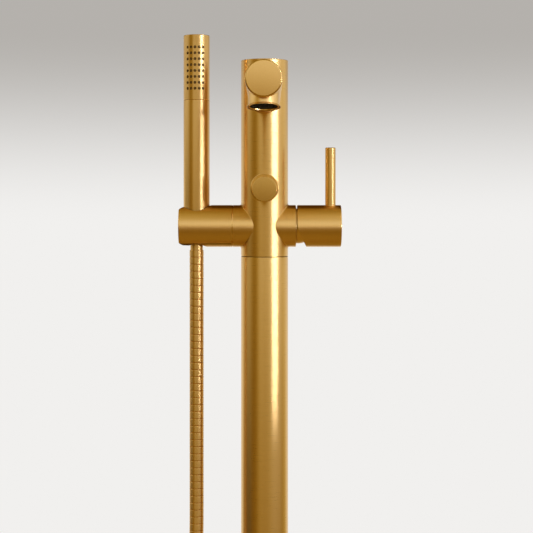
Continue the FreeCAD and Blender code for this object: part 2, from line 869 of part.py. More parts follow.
def spout_tube():
    """Spout: tube coped to the column, with a grooved spigot into it and a hole for the outlet."""
    end = dim.spout_reach - dim.spout_cap_thickness
    start = dim.spout_spigot_start
    pipe = spout_line("spout_pipe", dim.spout_diameter, end - start, start)
    column = rod("spout_column", dim.column_diameter, column_top, (0, 0, 0))
    coped = less("spout_coped", pipe, column)
    floor, half = spout_groove()
    radius = dim.spout_spigot_diameter / 2
    middle = dim.spout_seal_inset
    length = dim.spout_root - start
    spigot = turned(
        "spout_spigot",
        [
            (0, 0),
            (radius, 0),
            (radius, middle - half),
            (floor, middle - half),
            (floor, middle + half),
            (radius, middle + half),
            (radius, length),
            (0, length),
        ],
        (0, -start, spout_height),
        "-Y",
    )
    inner = dim.spout_diameter - dim.spout_wall * 2
    hollow = spout_line("spout_hollow", inner, end, dim.spout_root)
    way = spout_line("spout_way", dim.spout_spigot_bore, dim.spout_root, 0)
    drain = outlet_rod("spout_drain", dim.collar_bore, dim.outlet_drop, 0)
    return less("spout_tube", fused("spout_blank", coped, spigot), hollow, way, drain)


def spout_seal():
    floor, half = spout_groove()
    middle = (0, -dim.spout_spigot_start - dim.spout_seal_inset, spout_height)
    return seal_ring("spout_seal", floor * 2, dim.spout_seal_wire, middle, "-Y")


def spout_end_cap():
    """End disc with a fine bevel and a plug inside the tube."""
    radius = dim.spout_diameter / 2
    plug = radius - dim.spout_wall - dim.fit_clearance
    total = dim.spout_cap_plug + dim.spout_cap_thickness
    return turned(
        "spout_end_cap",
        [
            (0, 0),
            (plug, 0),
            (plug, dim.spout_cap_plug),
            (radius, dim.spout_cap_plug),
            (radius, total - dim.edge_chamfer),
            (radius - dim.edge_chamfer, total),
            (0, total),
        ],
        (0, -dim.spout_reach + total, spout_height),
        "-Y",
    )


def tilt_to_outlet(item):
    """Turns a piece made on the outlet's axis from straight up to the outlet's lean."""
    item.Placement.Rotation = Rotation(Vector(-1, 0, 0), float(dim.outlet_tilt))
    item.setExpression("Placement.Rotation.Angle", dim.outlet_tilt.text)
    return item


def outlet_turned(name, outline):
    """Turned piece on the outlet's axis, measured upwards from the middle of its lower face."""
    return tilt_to_outlet(turned(name, outline, (0, -outlet_reach, outlet_height)))


def outlet_rod(name, diameter, length, start):
    item = rod(name, diameter, length, (0, -outlet_reach, outlet_height + start))
    return tilt_to_outlet(item)


def outlet_collar():
    """Short leaning neck under the spout, coped to it, threaded for the aerator."""
    outer = dim.collar_diameter / 2
    thread = dim.collar_thread_diameter / 2
    bore = dim.collar_bore / 2
    blank = outlet_turned(
        "outlet_collar_blank",
        [
            (thread, dim.lip_thickness),
            (outer, dim.lip_thickness),
            (outer, dim.outlet_drop),
            (bore, dim.outlet_drop),
            (bore, dim.collar_thread_depth),
            (thread, dim.collar_thread_depth),
        ],
    )
    return less("outlet_collar", blank, spout_line("collar_cope", dim.spout_diameter, dim.spout_reach, 0))


def aerator_ring():
    """Lip ring of the aerator with its threaded sleeve."""
    lip = dim.lip_diameter / 2
    sleeve = dim.collar_thread_diameter / 2 - dim.fit_clearance
    bore = dim.aerator_bore / 2
    mouth = dim.aerator_mouth / 2
    return outlet_turned(
        "aerator_ring",
        [
            (mouth, 0),
            (lip - dim.seam_chamfer, 0),
            (lip, dim.seam_chamfer),
            (lip, dim.lip_thickness),
            (sleeve, dim.lip_thickness),
            (sleeve, dim.aerator_sleeve_length),
            (bore, dim.aerator_sleeve_length),
            (bore, mouth - bore),
        ],
    )


def aerator_insert():
    """Black flow insert with rings of fine holes."""
    radius = dim.aerator_bore / 2 - dim.fit_clearance
    top = dim.aerator_recess + dim.aerator_thickness
    blank = outlet_turned(
        "aerator_insert_blank",
        [(0, dim.aerator_recess), (radius, dim.aerator_recess), (radius, top), (0, top)],
    )
    places = [(0.0, 0.0)]
    for ring in range(1, AERATOR_RING_COUNT + 1):
        for cosine, sine in around(AERATOR_FIRST_RING_COUNT * ring):
            places.append((cosine * ring, sine * ring))
    lean = math.radians(float(dim.outlet_tilt))
    holes = []
    for across, along in places:
        spot = (
            dim.aerator_hole_pitch * across,
            -outlet_reach + dim.aerator_hole_pitch * (along * math.cos(lean)),
            outlet_height + dim.aerator_hole_pitch * (along * math.sin(lean)),
        )
        holes.append(tilt_to_outlet(rod("aerator_hole", dim.aerator_hole_diameter, dim.outlet_drop, spot)))
    return less("aerator_insert", blank, *holes)


def aerator_washer():
    bore = dim.collar_bore / 2
    outer = dim.collar_thread_diameter / 2 - dim.fit_clearance
    foot = dim.aerator_sleeve_length
    top = foot + dim.aerator_washer_thickness
    return outlet_turned("aerator_washer", [(bore, foot), (outer, foot), (outer, top), (bore, top)])


# Mixing cartridge


def arm_point(reach, across=0, rise=0):
    """A point by its distance along the arm's axis from the column, across it and above it."""
    return (reach, across, dim.arm_height + rise)


def port_places():
    """Hot, cold and mixed ports as sideways and upward places on the cartridge's face."""
    radius = dim.cartridge_port_radius
    return [(radius, 0), (-radius, 0), (0, radius)]


def port_rods(name, diameter, length, reach):
    return [rod(name, diameter, length, arm_point(reach, y, z), "+X") for y, z in port_places()]


def cartridge_housing():
    """Cup that holds the discs, with three ports and a seal recess round each."""
    outer = dim.cartridge_diameter / 2
    inner = cartridge_bore / 2
    blank = turned(
        "cartridge_housing_blank",
        [
            (0, 0),
            (outer, 0),
            (outer, dim.cartridge_length),
            (inner, dim.cartridge_length),
            (inner, dim.cartridge_base),
            (0, dim.cartridge_base),
        ],
        arm_point(dim.cartridge_seat),
        "+X",
    )
    ports = port_rods("housing_port", dim.cartridge_port_diameter, dim.cartridge_length, dim.cartridge_seat)
    recess = dim.cartridge_port_diameter + dim.cartridge_seal_wire * 2 + dim.fit_clearance * 2
    recesses = port_rods("housing_recess", recess, dim.cartridge_seal_wire, dim.cartridge_seat)
    return less("cartridge_housing", blank, *ports, *recesses)


def cartridge_seals():
    middle = dim.cartridge_seat + dim.cartridge_seal_wire / 2
    inner = dim.cartridge_port_diameter + dim.fit_clearance
    rings = []
    for y, z in port_places():
        spot = arm_point(middle, y, z)
        rings.append(seal_ring("cartridge_seal", inner, dim.cartridge_seal_wire, spot, "+X"))
    return group("cartridge_seals", *rings)


def fixed_disc():
    diameter = cartridge_bore - dim.fit_clearance * 2
    blank = rod("fixed_disc_blank", diameter, dim.disc_thickness, arm_point(disc_face), "+X")
    ports = port_rods("disc_port", dim.cartridge_port_diameter, dim.disc_thickness, disc_face)
    return less("fixed_disc", blank, *ports)


def moving_disc():
    """Sliding ceramic disc with a shallow mixing pocket, below the middle while the water is off."""
    spot = arm_point(moving_face, 0, -dim.disc_rest_offset)
    blank = rod("moving_disc_blank", dim.moving_disc_diameter, dim.disc_thickness, spot, "+X")
    pocket = rod("disc_pocket", dim.moving_disc_pocket, dim.disc_thickness / 2, spot, "+X")
    return less("moving_disc", blank, pocket)


def disc_carrier():
    """Plate that holds the sliding disc and takes the ball of the stem."""
    spot = arm_point(disc_carrier_face, 0, -dim.disc_rest_offset)
    blank = rod("disc_carrier_blank", dim.moving_disc_diameter, dim.disc_carrier_thickness, spot, "+X")
    hole = dim.stem_ball_diameter + dim.seat_clearance * 2
    socket = rod("ball_socket", hole, dim.disc_carrier_thickness, arm_point(disc_carrier_face), "+X")
    return less("disc_carrier", blank, socket)


def stem_carrier():
    """Turning holder of the stem: flange inside the housing, slotted neck through the nut."""
    start = cartridge_end - dim.carrier_flange_thickness - dim.seat_clearance
    flange = cartridge_bore / 2 - dim.seat_clearance / 2
    neck = dim.carrier_neck_diameter / 2
    length = dim.carrier_reach - start
    blank = turned(
        "stem_carrier_blank",
        [
            (0, 0),
            (flange, 0),
            (flange, dim.carrier_flange_thickness),
            (neck, dim.carrier_flange_thickness),
            (neck, length - dim.edge_chamfer),
            (neck - dim.edge_chamfer, length),
            (0, length),
        ],
        arm_point(start),
        "+X",
    )
    width = dim.stem_square + dim.stem_side_clearance * 2
    corner = arm_point(start, -width / 2, -dim.stem_slot_height / 2)
    slot = block("stem_slot", length, width, dim.stem_slot_height, corner)
    hole = pin_rod("carrier_pin_hole", dim.pivot_pin_diameter + dim.running_clearance, dim.arm_diameter)
    return less("stem_carrier", blank, slot, hole)


def pin_rod(name, diameter, length):
    """Cylinder across the arm at the lever's pivot."""
    return rod(name, diameter, length, arm_point(dim.pivot_reach, -length / 2), "+Y")


def pivot_pin():
    return pin_rod("pivot_pin", dim.pivot_pin_diameter, dim.pivot_pin_length)


def cartridge_stem():
    """Square stem with a round tail and a ball that moves the disc carrier."""
    half = dim.stem_square / 2
    length = dim.stem_reach - dim.stem_square_start
    square = block(
        "stem_bar", length, dim.stem_square, dim.stem_square, arm_point(dim.stem_square_start, -half, -half)
    )
    tail_length = dim.stem_square_start - ball_reach + dim.overrun
    tail = rod("stem_tail", dim.stem_tail_diameter, tail_length, arm_point(ball_reach), "+X")
    knuckle = ball("stem_ball", dim.stem_ball_diameter, arm_point(ball_reach))
    hole = pin_rod("stem_pin_hole", dim.pivot_pin_diameter + dim.running_clearance * 2, dim.arm_diameter)
    return less("cartridge_stem", fused("stem_blank", square, tail, knuckle), hole)


def cartridge_nut():
    """Threaded ring that clamps the cartridge, with four spanner notches."""
    blank = tube(
        "cartridge_nut_blank",
        dim.nut_diameter,
        dim.nut_bore,
        dim.nut_thickness,
        arm_point(cartridge_end),
        "+X",
    )
    width = dim.nut_thickness / 2
    notch_start = cartridge_end + dim.nut_thickness / 2
    below = arm_point(notch_start, -width / 2, -arm_radius)
    beside = arm_point(notch_start, -arm_radius, -width / 2)
    upright = block("nut_notch", width, width, dim.arm_diameter, below)
    level = block("nut_notch", width, dim.arm_diameter, width, beside)
    return less("cartridge_nut", blank, upright, level)


def dome_cover():
    """Domed sleeve over the cartridge, round about the lever's pivot, with an opening for the stem."""
    pivot = arm_point(dim.pivot_reach)
    foot = arm_point(dim.stub_reach)
    half = common(
        "dome_outside",
        ball("dome_ball", dim.dome_diameter, pivot),
        rod("dome_reach", dim.arm_diameter, dim.arm_diameter, foot, "+X"),
    )
    collar_diameter = dim.nut_diameter
    collar_start = arm_point(dim.stub_reach - dim.dome_collar_length)
    collar = rod("dome_collar", collar_diameter, dim.dome_collar_length + dim.overrun, collar_start, "+X")
    shell = fused("dome_blank", half, collar)
    hollow = ball("dome_hollow", dim.dome_diameter - dim.dome_wall * 2, pivot)
    mouth = rod("dome_mouth", dim.dome_opening, dim.arm_diameter, collar_start, "+X")
    throat_diameter = collar_diameter - dim.dome_wall * 2
    throat = rod("dome_throat", throat_diameter, dim.dome_collar_length + dim.overrun, collar_start, "+X")
    return less("dome_cover", shell, hollow, mouth, throat)


# Lever


def lever_hub():
    """Hollow lever hub: cup with a central boss, cut away below so that it can tilt."""
    length = dim.hub_reach - hub_start
    cavity = dim.hub_cavity_diameter / 2
    boss = dim.hub_boss_diameter / 2
    boss_start = dim.hub_boss_start - hub_start
    cavity_end = dim.hub_cavity_reach - hub_start
    blank = turned(
        "lever_hub_blank",
        [
            (cavity, 0),
            (arm_radius - dim.seam_chamfer, 0),
            (arm_radius, dim.seam_chamfer),
            (arm_radius, length - dim.edge_chamfer),
            (arm_radius - dim.edge_chamfer, length),
            (0, length),
            (0, boss_start),
            (boss, boss_start),
            (boss, cavity_end),
            (cavity, cavity_end),
        ],
        arm_point(hub_start),
        "+X",
    )
    return less("lever_hub", blank, hub_notch(), hub_socket(), *hub_lever_holes(), hub_grub_hole())


def hub_notch():
    """Wedge below the pivot that clears the stub when the lever tilts outwards."""
    drop = arm_radius - dim.notch_start
    deep = arm_radius + dim.overrun
    reach = dim.notch_depth * (deep - dim.notch_start) / drop
    return padded(
        "hub_notch",
        [(-dim.overrun, -dim.notch_start), (-dim.overrun, -deep), (reach, -deep), (0, -dim.notch_start)],
        dim.arm_diameter + dim.overrun,
        arm_point(hub_start),
        "XZ_Plane",
    )


def hub_socket():
    """Square socket for the stem."""
    side = dim.stem_square + dim.fit_clearance * 2
    length = dim.hub_socket_end - dim.hub_boss_start + dim.overrun
    corner = arm_point(dim.hub_boss_start - dim.overrun, -side / 2, -side / 2)
    return block("hub_socket", length, side, side, corner)


def hub_lever_holes():
    """Hole for the lever rod through the wall, and its thread in the boss."""
    seat = dim.hub_boss_diameter / 2
    hole = dim.lever_diameter + dim.running_clearance * 2
    thread = dim.lever_thread_diameter + dim.running_clearance * 2
    thread_foot = seat - dim.lever_thread_length - dim.fit_clearance
    return [
        rod("lever_hole", hole, arm_radius, arm_point(dim.lever_offset, 0, seat)),
        rod("lever_thread", thread, arm_radius, arm_point(dim.lever_offset, 0, thread_foot)),
    ]


def hub_grub_hole():
    diameter = dim.grub_diameter + dim.running_clearance * 2
    return rod("hub_grub_hole", diameter, arm_radius + dim.overrun, arm_point(dim.grub_offset), "+Y")


def hub_grub_screw():
    """Grub screw in the boss, tight on the stem."""
    start = dim.stem_square / 2 + dim.running_clearance
    length = dim.hub_boss_diameter / 2 - start
    return grub_screw("hub_grub_screw", dim.grub_diameter, length, arm_point(dim.grub_offset, start), "+Y")


def hub_plug():
    """Small plug over the grub screw's hole, just below the hub's surface."""
    start = dim.hub_cavity_diameter / 2
    length = arm_radius - start - dim.plug_inset
    return rod("hub_plug", dim.grub_diameter, length, arm_point(dim.grub_offset, start), "+Y")


def lever_rod():
    """Slim lever with a rounded top and a threaded foot."""
    foot = dim.hub_boss_diameter / 2 - dim.lever_thread_length
    length = lever_top - dim.arm_height - foot
    radius = dim.lever_diameter / 2
    thread = dim.lever_thread_diameter / 2
    round_edge = dim.lever_edge_radius
    return turned(
        "lever_rod",
        [
            (0, 0),
            (thread, 0),
            (thread, dim.lever_thread_length),
            (radius, dim.lever_thread_length),
            (radius, length - round_edge),
            (radius - round_edge, length, round_edge),
            (0, length),
        ],
        arm_point(dim.lever_offset, 0, foot),
    )


# Diverter, measured forwards from the column's axis


def diverter_point(forward, rise=0):
    return (0, -forward, diverter_height + rise)


def diverter_bush():
    """Guide bush: valve seat, spring pocket, cross port to the spout, seal groove and guide bore."""
    outer = dim.diverter_bore / 2
    pocket = dim.bush_spring_bore / 2
    guide = dim.spindle_diameter / 2 + dim.running_clearance
    length = dim.bush_outer - dim.bush_inner
    shoulder = dim.bush_spring_seat - dim.bush_inner
    middle = (shoulder + length) / 2
    half = dim.spindle_seal_wire / 2 + dim.fit_clearance
    groove = guide + dim.spindle_seal_wire
    blank = turned(
        "diverter_bush_blank",
        [
            (pocket, 0),
            (outer, 0),
            (outer, length),
            (guide, length),
            (guide, middle + half),
            (groove, middle + half),
            (groove, middle - half),
            (guide, middle - half),
            (guide, shoulder),
            (pocket, shoulder),
        ],
        diverter_point(dim.bush_inner),
        "-Y",
    )
    port = rod("bush_port", dim.bush_port_diameter, dim.diverter_bore, diverter_point(dim.bush_port))
    return less("diverter_bush", blank, port)


def diverter_seal():
    middle = (dim.bush_spring_seat + dim.bush_outer) / 2
    inner = dim.spindle_diameter + dim.running_clearance * 2
    return seal_ring("diverter_seal", inner, dim.spindle_seal_wire, diverter_point(middle), "-Y")


def diverter_spindle():
    """Spindle with the valve flange on its inner end."""
    radius = dim.spindle_diameter / 2
    valve = dim.valve_diameter / 2
    length = dim.spindle_reach + dim.valve_back
    return turned(
        "diverter_spindle",
        [
            (0, 0),
            (valve, 0),
            (valve, dim.valve_thickness),
            (radius, dim.valve_thickness),
            (radius, length),
            (0, length),
        ],
        diverter_point(-dim.valve_back),
        "-Y",
    )


def diverter_washers():
    """Rubber rings on both faces of the valve flange."""
    thickness = dim.valve_washer_thickness
    front = dim.valve_thickness - dim.valve_back
    behind = diverter_point(-dim.valve_back - thickness)
    rear = rod("rear_washer", dim.valve_washer_diameter, thickness, behind, "-Y")
    bore = dim.bush_spring_bore
    ring = tube("front_washer", dim.valve_washer_diameter, bore, thickness, diverter_point(front), "-Y")
    return group("diverter_washers", rear, ring)


def diverter_spring():
    """Coil spring between the valve flange and the bush's shoulder."""
    wire = float(dim.spring_wire)
    start = float(dim.valve_thickness - dim.valve_back)
    length = float(dim.bush_spring_seat) - start - wire
    radius = (float(dim.spring_diameter) - wire) / 2
    coil = Part.makeHelix(length / SPRING_TURN_COUNT, length, radius)
    section = Part.Wire([Part.makeCircle(wire / 2, Vector(radius, 0, 0), Vector(0, 1, 0))])
    item = doc.addObject("Part::Feature", "diverter_spring")
    item.Shape = Part.Wire(coil.Edges).makePipeShell([section], True, True)
    return place(item, diverter_point(start + wire / 2), "-Y")


def diverter_knob():
    """Plain round knob with fine bevels and a blind bore for the spindle."""
    radius = dim.knob_diameter / 2
    length = dim.knob_reach - dim.knob_back
    bore = dim.spindle_diameter / 2 + dim.running_clearance
    depth = dim.spindle_reach - dim.knob_back
    blank = turned(
        "diverter_knob_blank",
        [
            (bore, 0),
            (radius - dim.edge_chamfer, 0),
            (radius, dim.edge_chamfer),
            (radius, length - dim.edge_chamfer),
            (radius - dim.edge_chamfer, length),
            (0, length),
            (0, depth),
            (bore, depth),
        ],
        diverter_point(dim.knob_back),
        "-Y",
    )
    hole = dim.knob_screw_diameter + dim.running_clearance * 2
    screw_hole = rod("knob_hole", hole, radius, diverter_point(dim.knob_screw_reach), "-Z")
    return less("diverter_knob", blank, screw_hole)


def knob_screw():
    """Grub screw under the knob, tight on the spindle."""
    start = dim.spindle_diameter / 2 + dim.fit_clearance
    length = dim.knob_diameter / 2 - start - dim.edge_chamfer
    spot = diverter_point(dim.knob_screw_reach, -start)
    return grub_screw("knob_screw", dim.knob_screw_diameter, length, spot, "-Z")


# Handset holder


def holder_arm():
    """Left arm end: turned bar with the handset's tapered socket and a slot for the hose through its end."""
    length = dim.holder_reach - dim.stub_reach
    blank = turned(
        "holder_arm_blank",
        [
            (0, 0),
            (arm_radius - dim.seam_chamfer, 0),
            (arm_radius, dim.seam_chamfer),
            (arm_radius, length - dim.edge_chamfer),
            (arm_radius - dim.edge_chamfer, length),
            (0, length),
        ],
        arm_point(-dim.stub_reach),
        "-X",
    )
    stud = dim.holder_stud_diameter + dim.fit_clearance * 2
    pin = dim.holder_pin_diameter + dim.fit_clearance * 2
    start = -dim.stub_reach + dim.overrun
    stud_hole = rod("holder_stud_hole", stud, dim.holder_stud_depth + dim.overrun, arm_point(start), "-X")
    pin_start = arm_point(start, 0, dim.holder_pin_rise)
    pin_hole = rod("holder_pin_hole", pin, dim.holder_pin_depth + dim.overrun, pin_start, "-X")
    return less("holder_arm", blank, holder_socket(), holder_slot(), stud_hole, pin_hole)


def holder_socket():
    """Tapered socket for the handset, bevelled at the mouth and open below."""
    socket = dim.socket_diameter / 2
    outlet = dim.socket_outlet_diameter / 2
    top = dim.arm_height + arm_radius
    mouth = dim.socket_mouth_chamfer
    above = mouth + dim.overrun
    return turned(
        "holder_socket",
        [
            (0, dim.arm_height - arm_radius - dim.overrun),
            (outlet, dim.arm_height - arm_radius - dim.overrun),
            (outlet, socket_outlet),
            (socket, socket_shoulder),
            (socket, top - mouth),
            (socket + above, top + dim.overrun),
            (0, top + dim.overrun),
        ],
        (-dim.handset_offset, 0, 0),
    )


def holder_slot():
    """Slot from the socket through the arm's end, flared for the hose."""
    half = dim.slot_width / 2
    mouth = dim.slot_mouth_width / 2
    end = dim.holder_reach - dim.handset_offset
    past = end + dim.overrun
    return padded(
        "holder_slot",
        [(0, half), (-end, mouth), (-past, mouth), (-past, -mouth), (-end, -mouth), (0, -half)],
        dim.arm_diameter + dim.overrun,
        (-dim.handset_offset, 0, dim.arm_height),
        "XY_Plane",
    )


def holder_stud():
    """Threaded stud that joins the holder to the body."""
    length = dim.holder_stud_depth * 2
    start = arm_point(-dim.stub_reach + dim.holder_stud_depth)
    return rod("holder_stud", dim.holder_stud_diameter, length, start, "-X")


def holder_pin():
    """Locating pin that keeps the holder upright."""
    start = arm_point(-dim.stub_reach + dim.holder_pin_depth, 0, dim.holder_pin_rise)
    return rod("holder_pin", dim.holder_pin_diameter, dim.holder_pin_depth * 2, start, "-X")


# Handset


def handset_turned(name, outline):
    """Turned piece on the handset's axis, with heights above the floor."""
    return turned(name, outline, (-dim.handset_offset, 0, 0))


def handset_handle():
    outer = dim.handset_diameter / 2
    inner = handset_inner / 2
    bevel = dim.seam_chamfer
    return handset_turned(
        "handset_handle",
        [
            (inner, handset_foot),
            (outer - bevel, handset_foot),
            (outer, handset_foot + bevel),
            (outer, handset_seam - bevel),
            (outer - bevel, handset_seam),
            (inner, handset_seam),
        ],
    )


def nozzle_rods(name, diameter, start, length):
    """Radial cylinders of the spray field, in rows down the head and columns round its front."""
    rods = []
    middle = (NOZZLE_COLUMN_COUNT - 1) / 2
    for row in range(NOZZLE_ROW_COUNT):
        height = handset_top - dim.nozzle_row_first - nozzle_row_pitch * row
        for column in range(NOZZLE_COLUMN_COUNT):
            angle = math.radians(NOZZLE_CENTRE_ANGLE + (column - middle) * NOZZLE_COLUMN_ANGLE)
            way = Vector(math.cos(angle), math.sin(angle), 0)
            spot = (start * way.x - dim.handset_offset, start * way.y, height)
            item = rod(name, diameter, length, spot)
            item.Placement.Rotation = Rotation(Vector(0, 0, 1), way)
            rods.append(item)
    return rods


def handset_head():
    """Spray head: closed tube with a spigot into the handle and the field of nozzle holes."""
    outer = dim.handset_diameter / 2
    inner = outer - dim.head_wall
    spigot = handset_inner / 2 - dim.fit_clearance
    spigot_bore = spigot - dim.head_spigot_wall
    foot = handset_seam - dim.head_spigot_length
    bevel = dim.seam_chamfer
    blank = handset_turned(
        "handset_head_blank",
        [
            (spigot_bore, foot),
            (spigot, foot),
            (spigot, handset_seam),
            (outer - bevel, handset_seam),
            (outer, handset_seam + bevel),
            (outer, handset_top - dim.edge_chamfer),
            (outer - dim.edge_chamfer, handset_top),
            (0, handset_top),
            (0, handset_top - dim.head_top_wall),
            (inner, handset_top - dim.head_top_wall),
            (inner, handset_seam + dim.head_wall),
            (spigot_bore, handset_seam + dim.head_wall),
        ],
    )
    holes = nozzle_rods("nozzle_hole", dim.nozzle_hole_diameter, inner - dim.overrun, outer)
    return less("handset_head", blank, *holes)


def nozzle_insert():
    """Curved rubber strip inside the head, with a nub in every hole."""
    outer = dim.handset_diameter / 2 - dim.head_wall - dim.fit_clearance
    inner = outer - dim.nozzle_strip_wall
    first = handset_top - dim.nozzle_row_first
    last = first - nozzle_row_pitch * (NOZZLE_ROW_COUNT - 1)
    low = last - dim.nozzle_strip_margin
    length = first - last + dim.nozzle_strip_margin * 2
    spread = NOZZLE_COLUMN_ANGLE * NOZZLE_COLUMN_COUNT
    strip = rod("nozzle_strip", outer * 2, length, (-dim.handset_offset, 0, low))
    strip.Angle = spread
    strip.Placement.Rotation = Rotation(Vector(0, 0, 1), NOZZLE_CENTRE_ANGLE - spread / 2)
    core = rod("nozzle_core", inner * 2, length, (-dim.handset_offset, 0, low))
    start = inner + dim.nozzle_strip_wall / 2
    length = dim.handset_diameter / 2 - dim.nozzle_nub_inset - start
    nubs = nozzle_rods("nozzle_nub", dim.nozzle_nub_diameter, start, length)
    return fused("nozzle_insert", less("nozzle_strip_shell", strip, core), *nubs)


def handset_inlet():
    """Threaded water inlet plugged into the handle's foot."""
    plug = handset_inner / 2 - dim.fit_clearance
    thread = dim.handset_thread_diameter / 2
    bore = dim.handset_bore / 2
    return handset_turned(
        "handset_inlet",
        [
            (bore, handset_thread_foot),
            (thread - dim.edge_chamfer, handset_thread_foot),
            (thread, handset_thread_foot + dim.edge_chamfer),
            (thread, handset_foot),
            (plug, handset_foot),
            (plug, handset_foot + dim.handset_inlet_plug),
            (bore, handset_foot + dim.handset_inlet_plug),
        ],
    )


def hose_washer():
    bore = dim.handset_bore / 2
    outer = dim.handset_thread_diameter / 2 - dim.fit_clearance
    foot = handset_thread_foot - dim.hose_washer_thickness
    return handset_turned(
        "hose_washer",
        [(bore, foot), (outer, foot), (outer, handset_thread_foot), (bore, handset_thread_foot)],
    )


# Hose and its ends


def seat_radius(height):
    """Radius of the cone nut where it sits in the tapered socket."""
    rise = socket_shoulder - socket_outlet
    widening = (dim.socket_diameter - dim.socket_outlet_diameter) / 2
    return dim.socket_outlet_diameter / 2 + widening * (height - socket_outlet) / rise - dim.seat_clearance


def hose_cone_nut():
    """Tapered nut that screws onto the handset and seats in the holder's socket."""
    top = handset_foot - dim.fit_clearance
    foot = hose_end_height + dim.cone_nut_foot
    thread = nut_thread_diameter / 2
    bore = dim.nut_stem_bore / 2
    shoulder = handset_thread_foot - dim.hose_washer_thickness - dim.tail_flange_thickness - dim.fit_clearance
    return handset_turned(
        "hose_cone_nut",
        [
            (bore, foot),
            (seat_radius(foot), foot),
            (seat_radius(top), top),
            (thread, top),
            (thread, shoulder),
            (bore, shoulder),
        ],
    )


def hose_tail(name, at, flange_top_height):
    """Flanged tail crimped into the end of the hose."""
    flange = dim.tail_flange_diameter / 2
    stem = dim.tail_stem_diameter / 2
    bore = dim.hose_bore / 2
    return turned(
        name,
        [
            (bore, hose_end_height),
            (stem, hose_end_height),
            (stem, flange_top_height - dim.tail_flange_thickness),
            (flange, flange_top_height - dim.tail_flange_thickness),
            (flange, flange_top_height),
            (bore, flange_top_height),
        ],
        at,
    )


def handset_tail():
    top = handset_thread_foot - dim.hose_washer_thickness
    return hose_tail("handset_tail", (-dim.handset_offset, 0, 0), top)


def outlet_tail():
    top = elbow_foot_height - dim.hose_washer_thickness
    return hose_tail("outlet_tail", (0, dim.hose_outlet_reach, 0), top)


def outlet_washer():
    outer = dim.handset_thread_diameter - dim.fit_clearance * 2
    spot = (0, dim.hose_outlet_reach, elbow_foot_height - dim.hose_washer_thickness)
    return tube("outlet_washer", outer, dim.elbow_bore, dim.hose_washer_thickness, spot)


def hose_hex_nut():
    """Six-sided nut that holds the hose on the outlet elbow."""
    axis = (0, dim.hose_outlet_reach, 0)
    foot = hose_end_height + dim.hex_nut_foot
    prism = doc.addObject("Part::Prism", "hex_nut_prism")
    prism.Polygon = NUT_SIDE_COUNT
    bind(prism, "Circumradius", dim.hex_nut_flats / Size(math.sqrt(3), "sqrt(3)"))
    bind(prism, "Height", dim.hex_nut_length)
    place(prism, (0, dim.hose_outlet_reach, foot))
    shoulder = elbow_foot_height - dim.hose_washer_thickness - dim.tail_flange_thickness - dim.fit_clearance
    bore = dim.nut_stem_bore / 2
    thread = nut_thread_diameter / 2
    top = foot + dim.hex_nut_length + dim.overrun
    low = foot - dim.overrun
    way = [(0, low), (bore, low), (bore, shoulder), (thread, shoulder), (thread, top), (0, top)]
    return less("hose_hex_nut", prism, turned("hex_nut_way", way, axis))


def outlet_elbow():
    """Bent outlet behind the column: coped to it, spigot into it, threaded foot for the hose."""
    reach = dim.hose_outlet_reach
    bend = dim.elbow_bend_radius
    radius = dim.elbow_diameter / 2
    level = (0, dim.elbow_spigot_start, diverter_height)
    level_length = reach - bend - dim.elbow_spigot_start
    drop = diverter_height - bend - elbow_foot_height
    foot = (0, reach, elbow_foot_height)
    thread = rod("elbow_thread", dim.handset_thread_diameter, dim.handset_thread_length, foot)
    outside = fused(
        "elbow_outside",
        rod("elbow_level", dim.elbow_diameter, level_length, level, "+Y"),
        elbow_bend("elbow_bend", radius),
        rod("elbow_drop", dim.elbow_diameter, drop, foot),
        thread,
    )
    coped = less("elbow_coped", outside, rod("elbow_column", dim.column_diameter, column_top, (0, 0, 0)))
    spigot_length = column_radius - dim.elbow_spigot_start + dim.overrun
    spigot = rod("elbow_spigot", dim.elbow_spigot_diameter, spigot_length, level, "+Y")
    valve_seat = dim.check_valve_diameter + dim.fit_clearance * 2
    return less(
        "outlet_elbow",
        fused("elbow_blank", coped, spigot),
        rod("elbow_level_bore", dim.elbow_bore, level_length, level, "+Y"),
        elbow_bend("elbow_bend_bore", dim.elbow_bore / 2),
        rod("elbow_drop_bore", dim.elbow_bore, drop, foot),
        rod("check_valve_seat", valve_seat, dim.check_valve_length, level, "+Y"),
    )


def elbow_bend(name, radius):
    """Quarter ring that turns from behind the column to straight down."""
    item = doc.addObject("Part::Torus", name)
    bind(item, "Radius1", dim.elbow_bend_radius)
    bind(item, "Radius2", radius)
    item.Angle3 = QUARTER_TURN
    centre_reach = dim.hose_outlet_reach - dim.elbow_bend_radius
    centre_height = diverter_height - dim.elbow_bend_radius
    return place(item, (0, centre_reach, centre_height), "-X")


def check_valve():
    """Non-return valve in the elbow: sleeve with a closed cone facing the body."""
    outer = dim.check_valve_diameter / 2
    inner = outer - dim.check_valve_wall
    middle = dim.check_valve_length / 2
    return turned(
        "check_valve",
        [
            (0, middle),
            (inner, dim.check_valve_wall),
            (inner, 0),
            (outer, 0),
            (outer, dim.check_valve_length),
            (inner, dim.check_valve_length),
            (inner, dim.check_valve_wall * 2),
            (0, middle + dim.check_valve_wall),
        ],
        (0, dim.elbow_spigot_start, diverter_height),
        "+Y",
    )


def hose_points():
    """The route's points in space: along the line from the handset's axis to the outlet's."""
    start = Vector(-float(dim.handset_offset), 0, 0)
    way = Vector(0, float(dim.hose_outlet_reach), 0) - start
    way.normalize()
    return [start + way * along + Vector(0, 0, height) for along, height in HOSE_ROUTE]


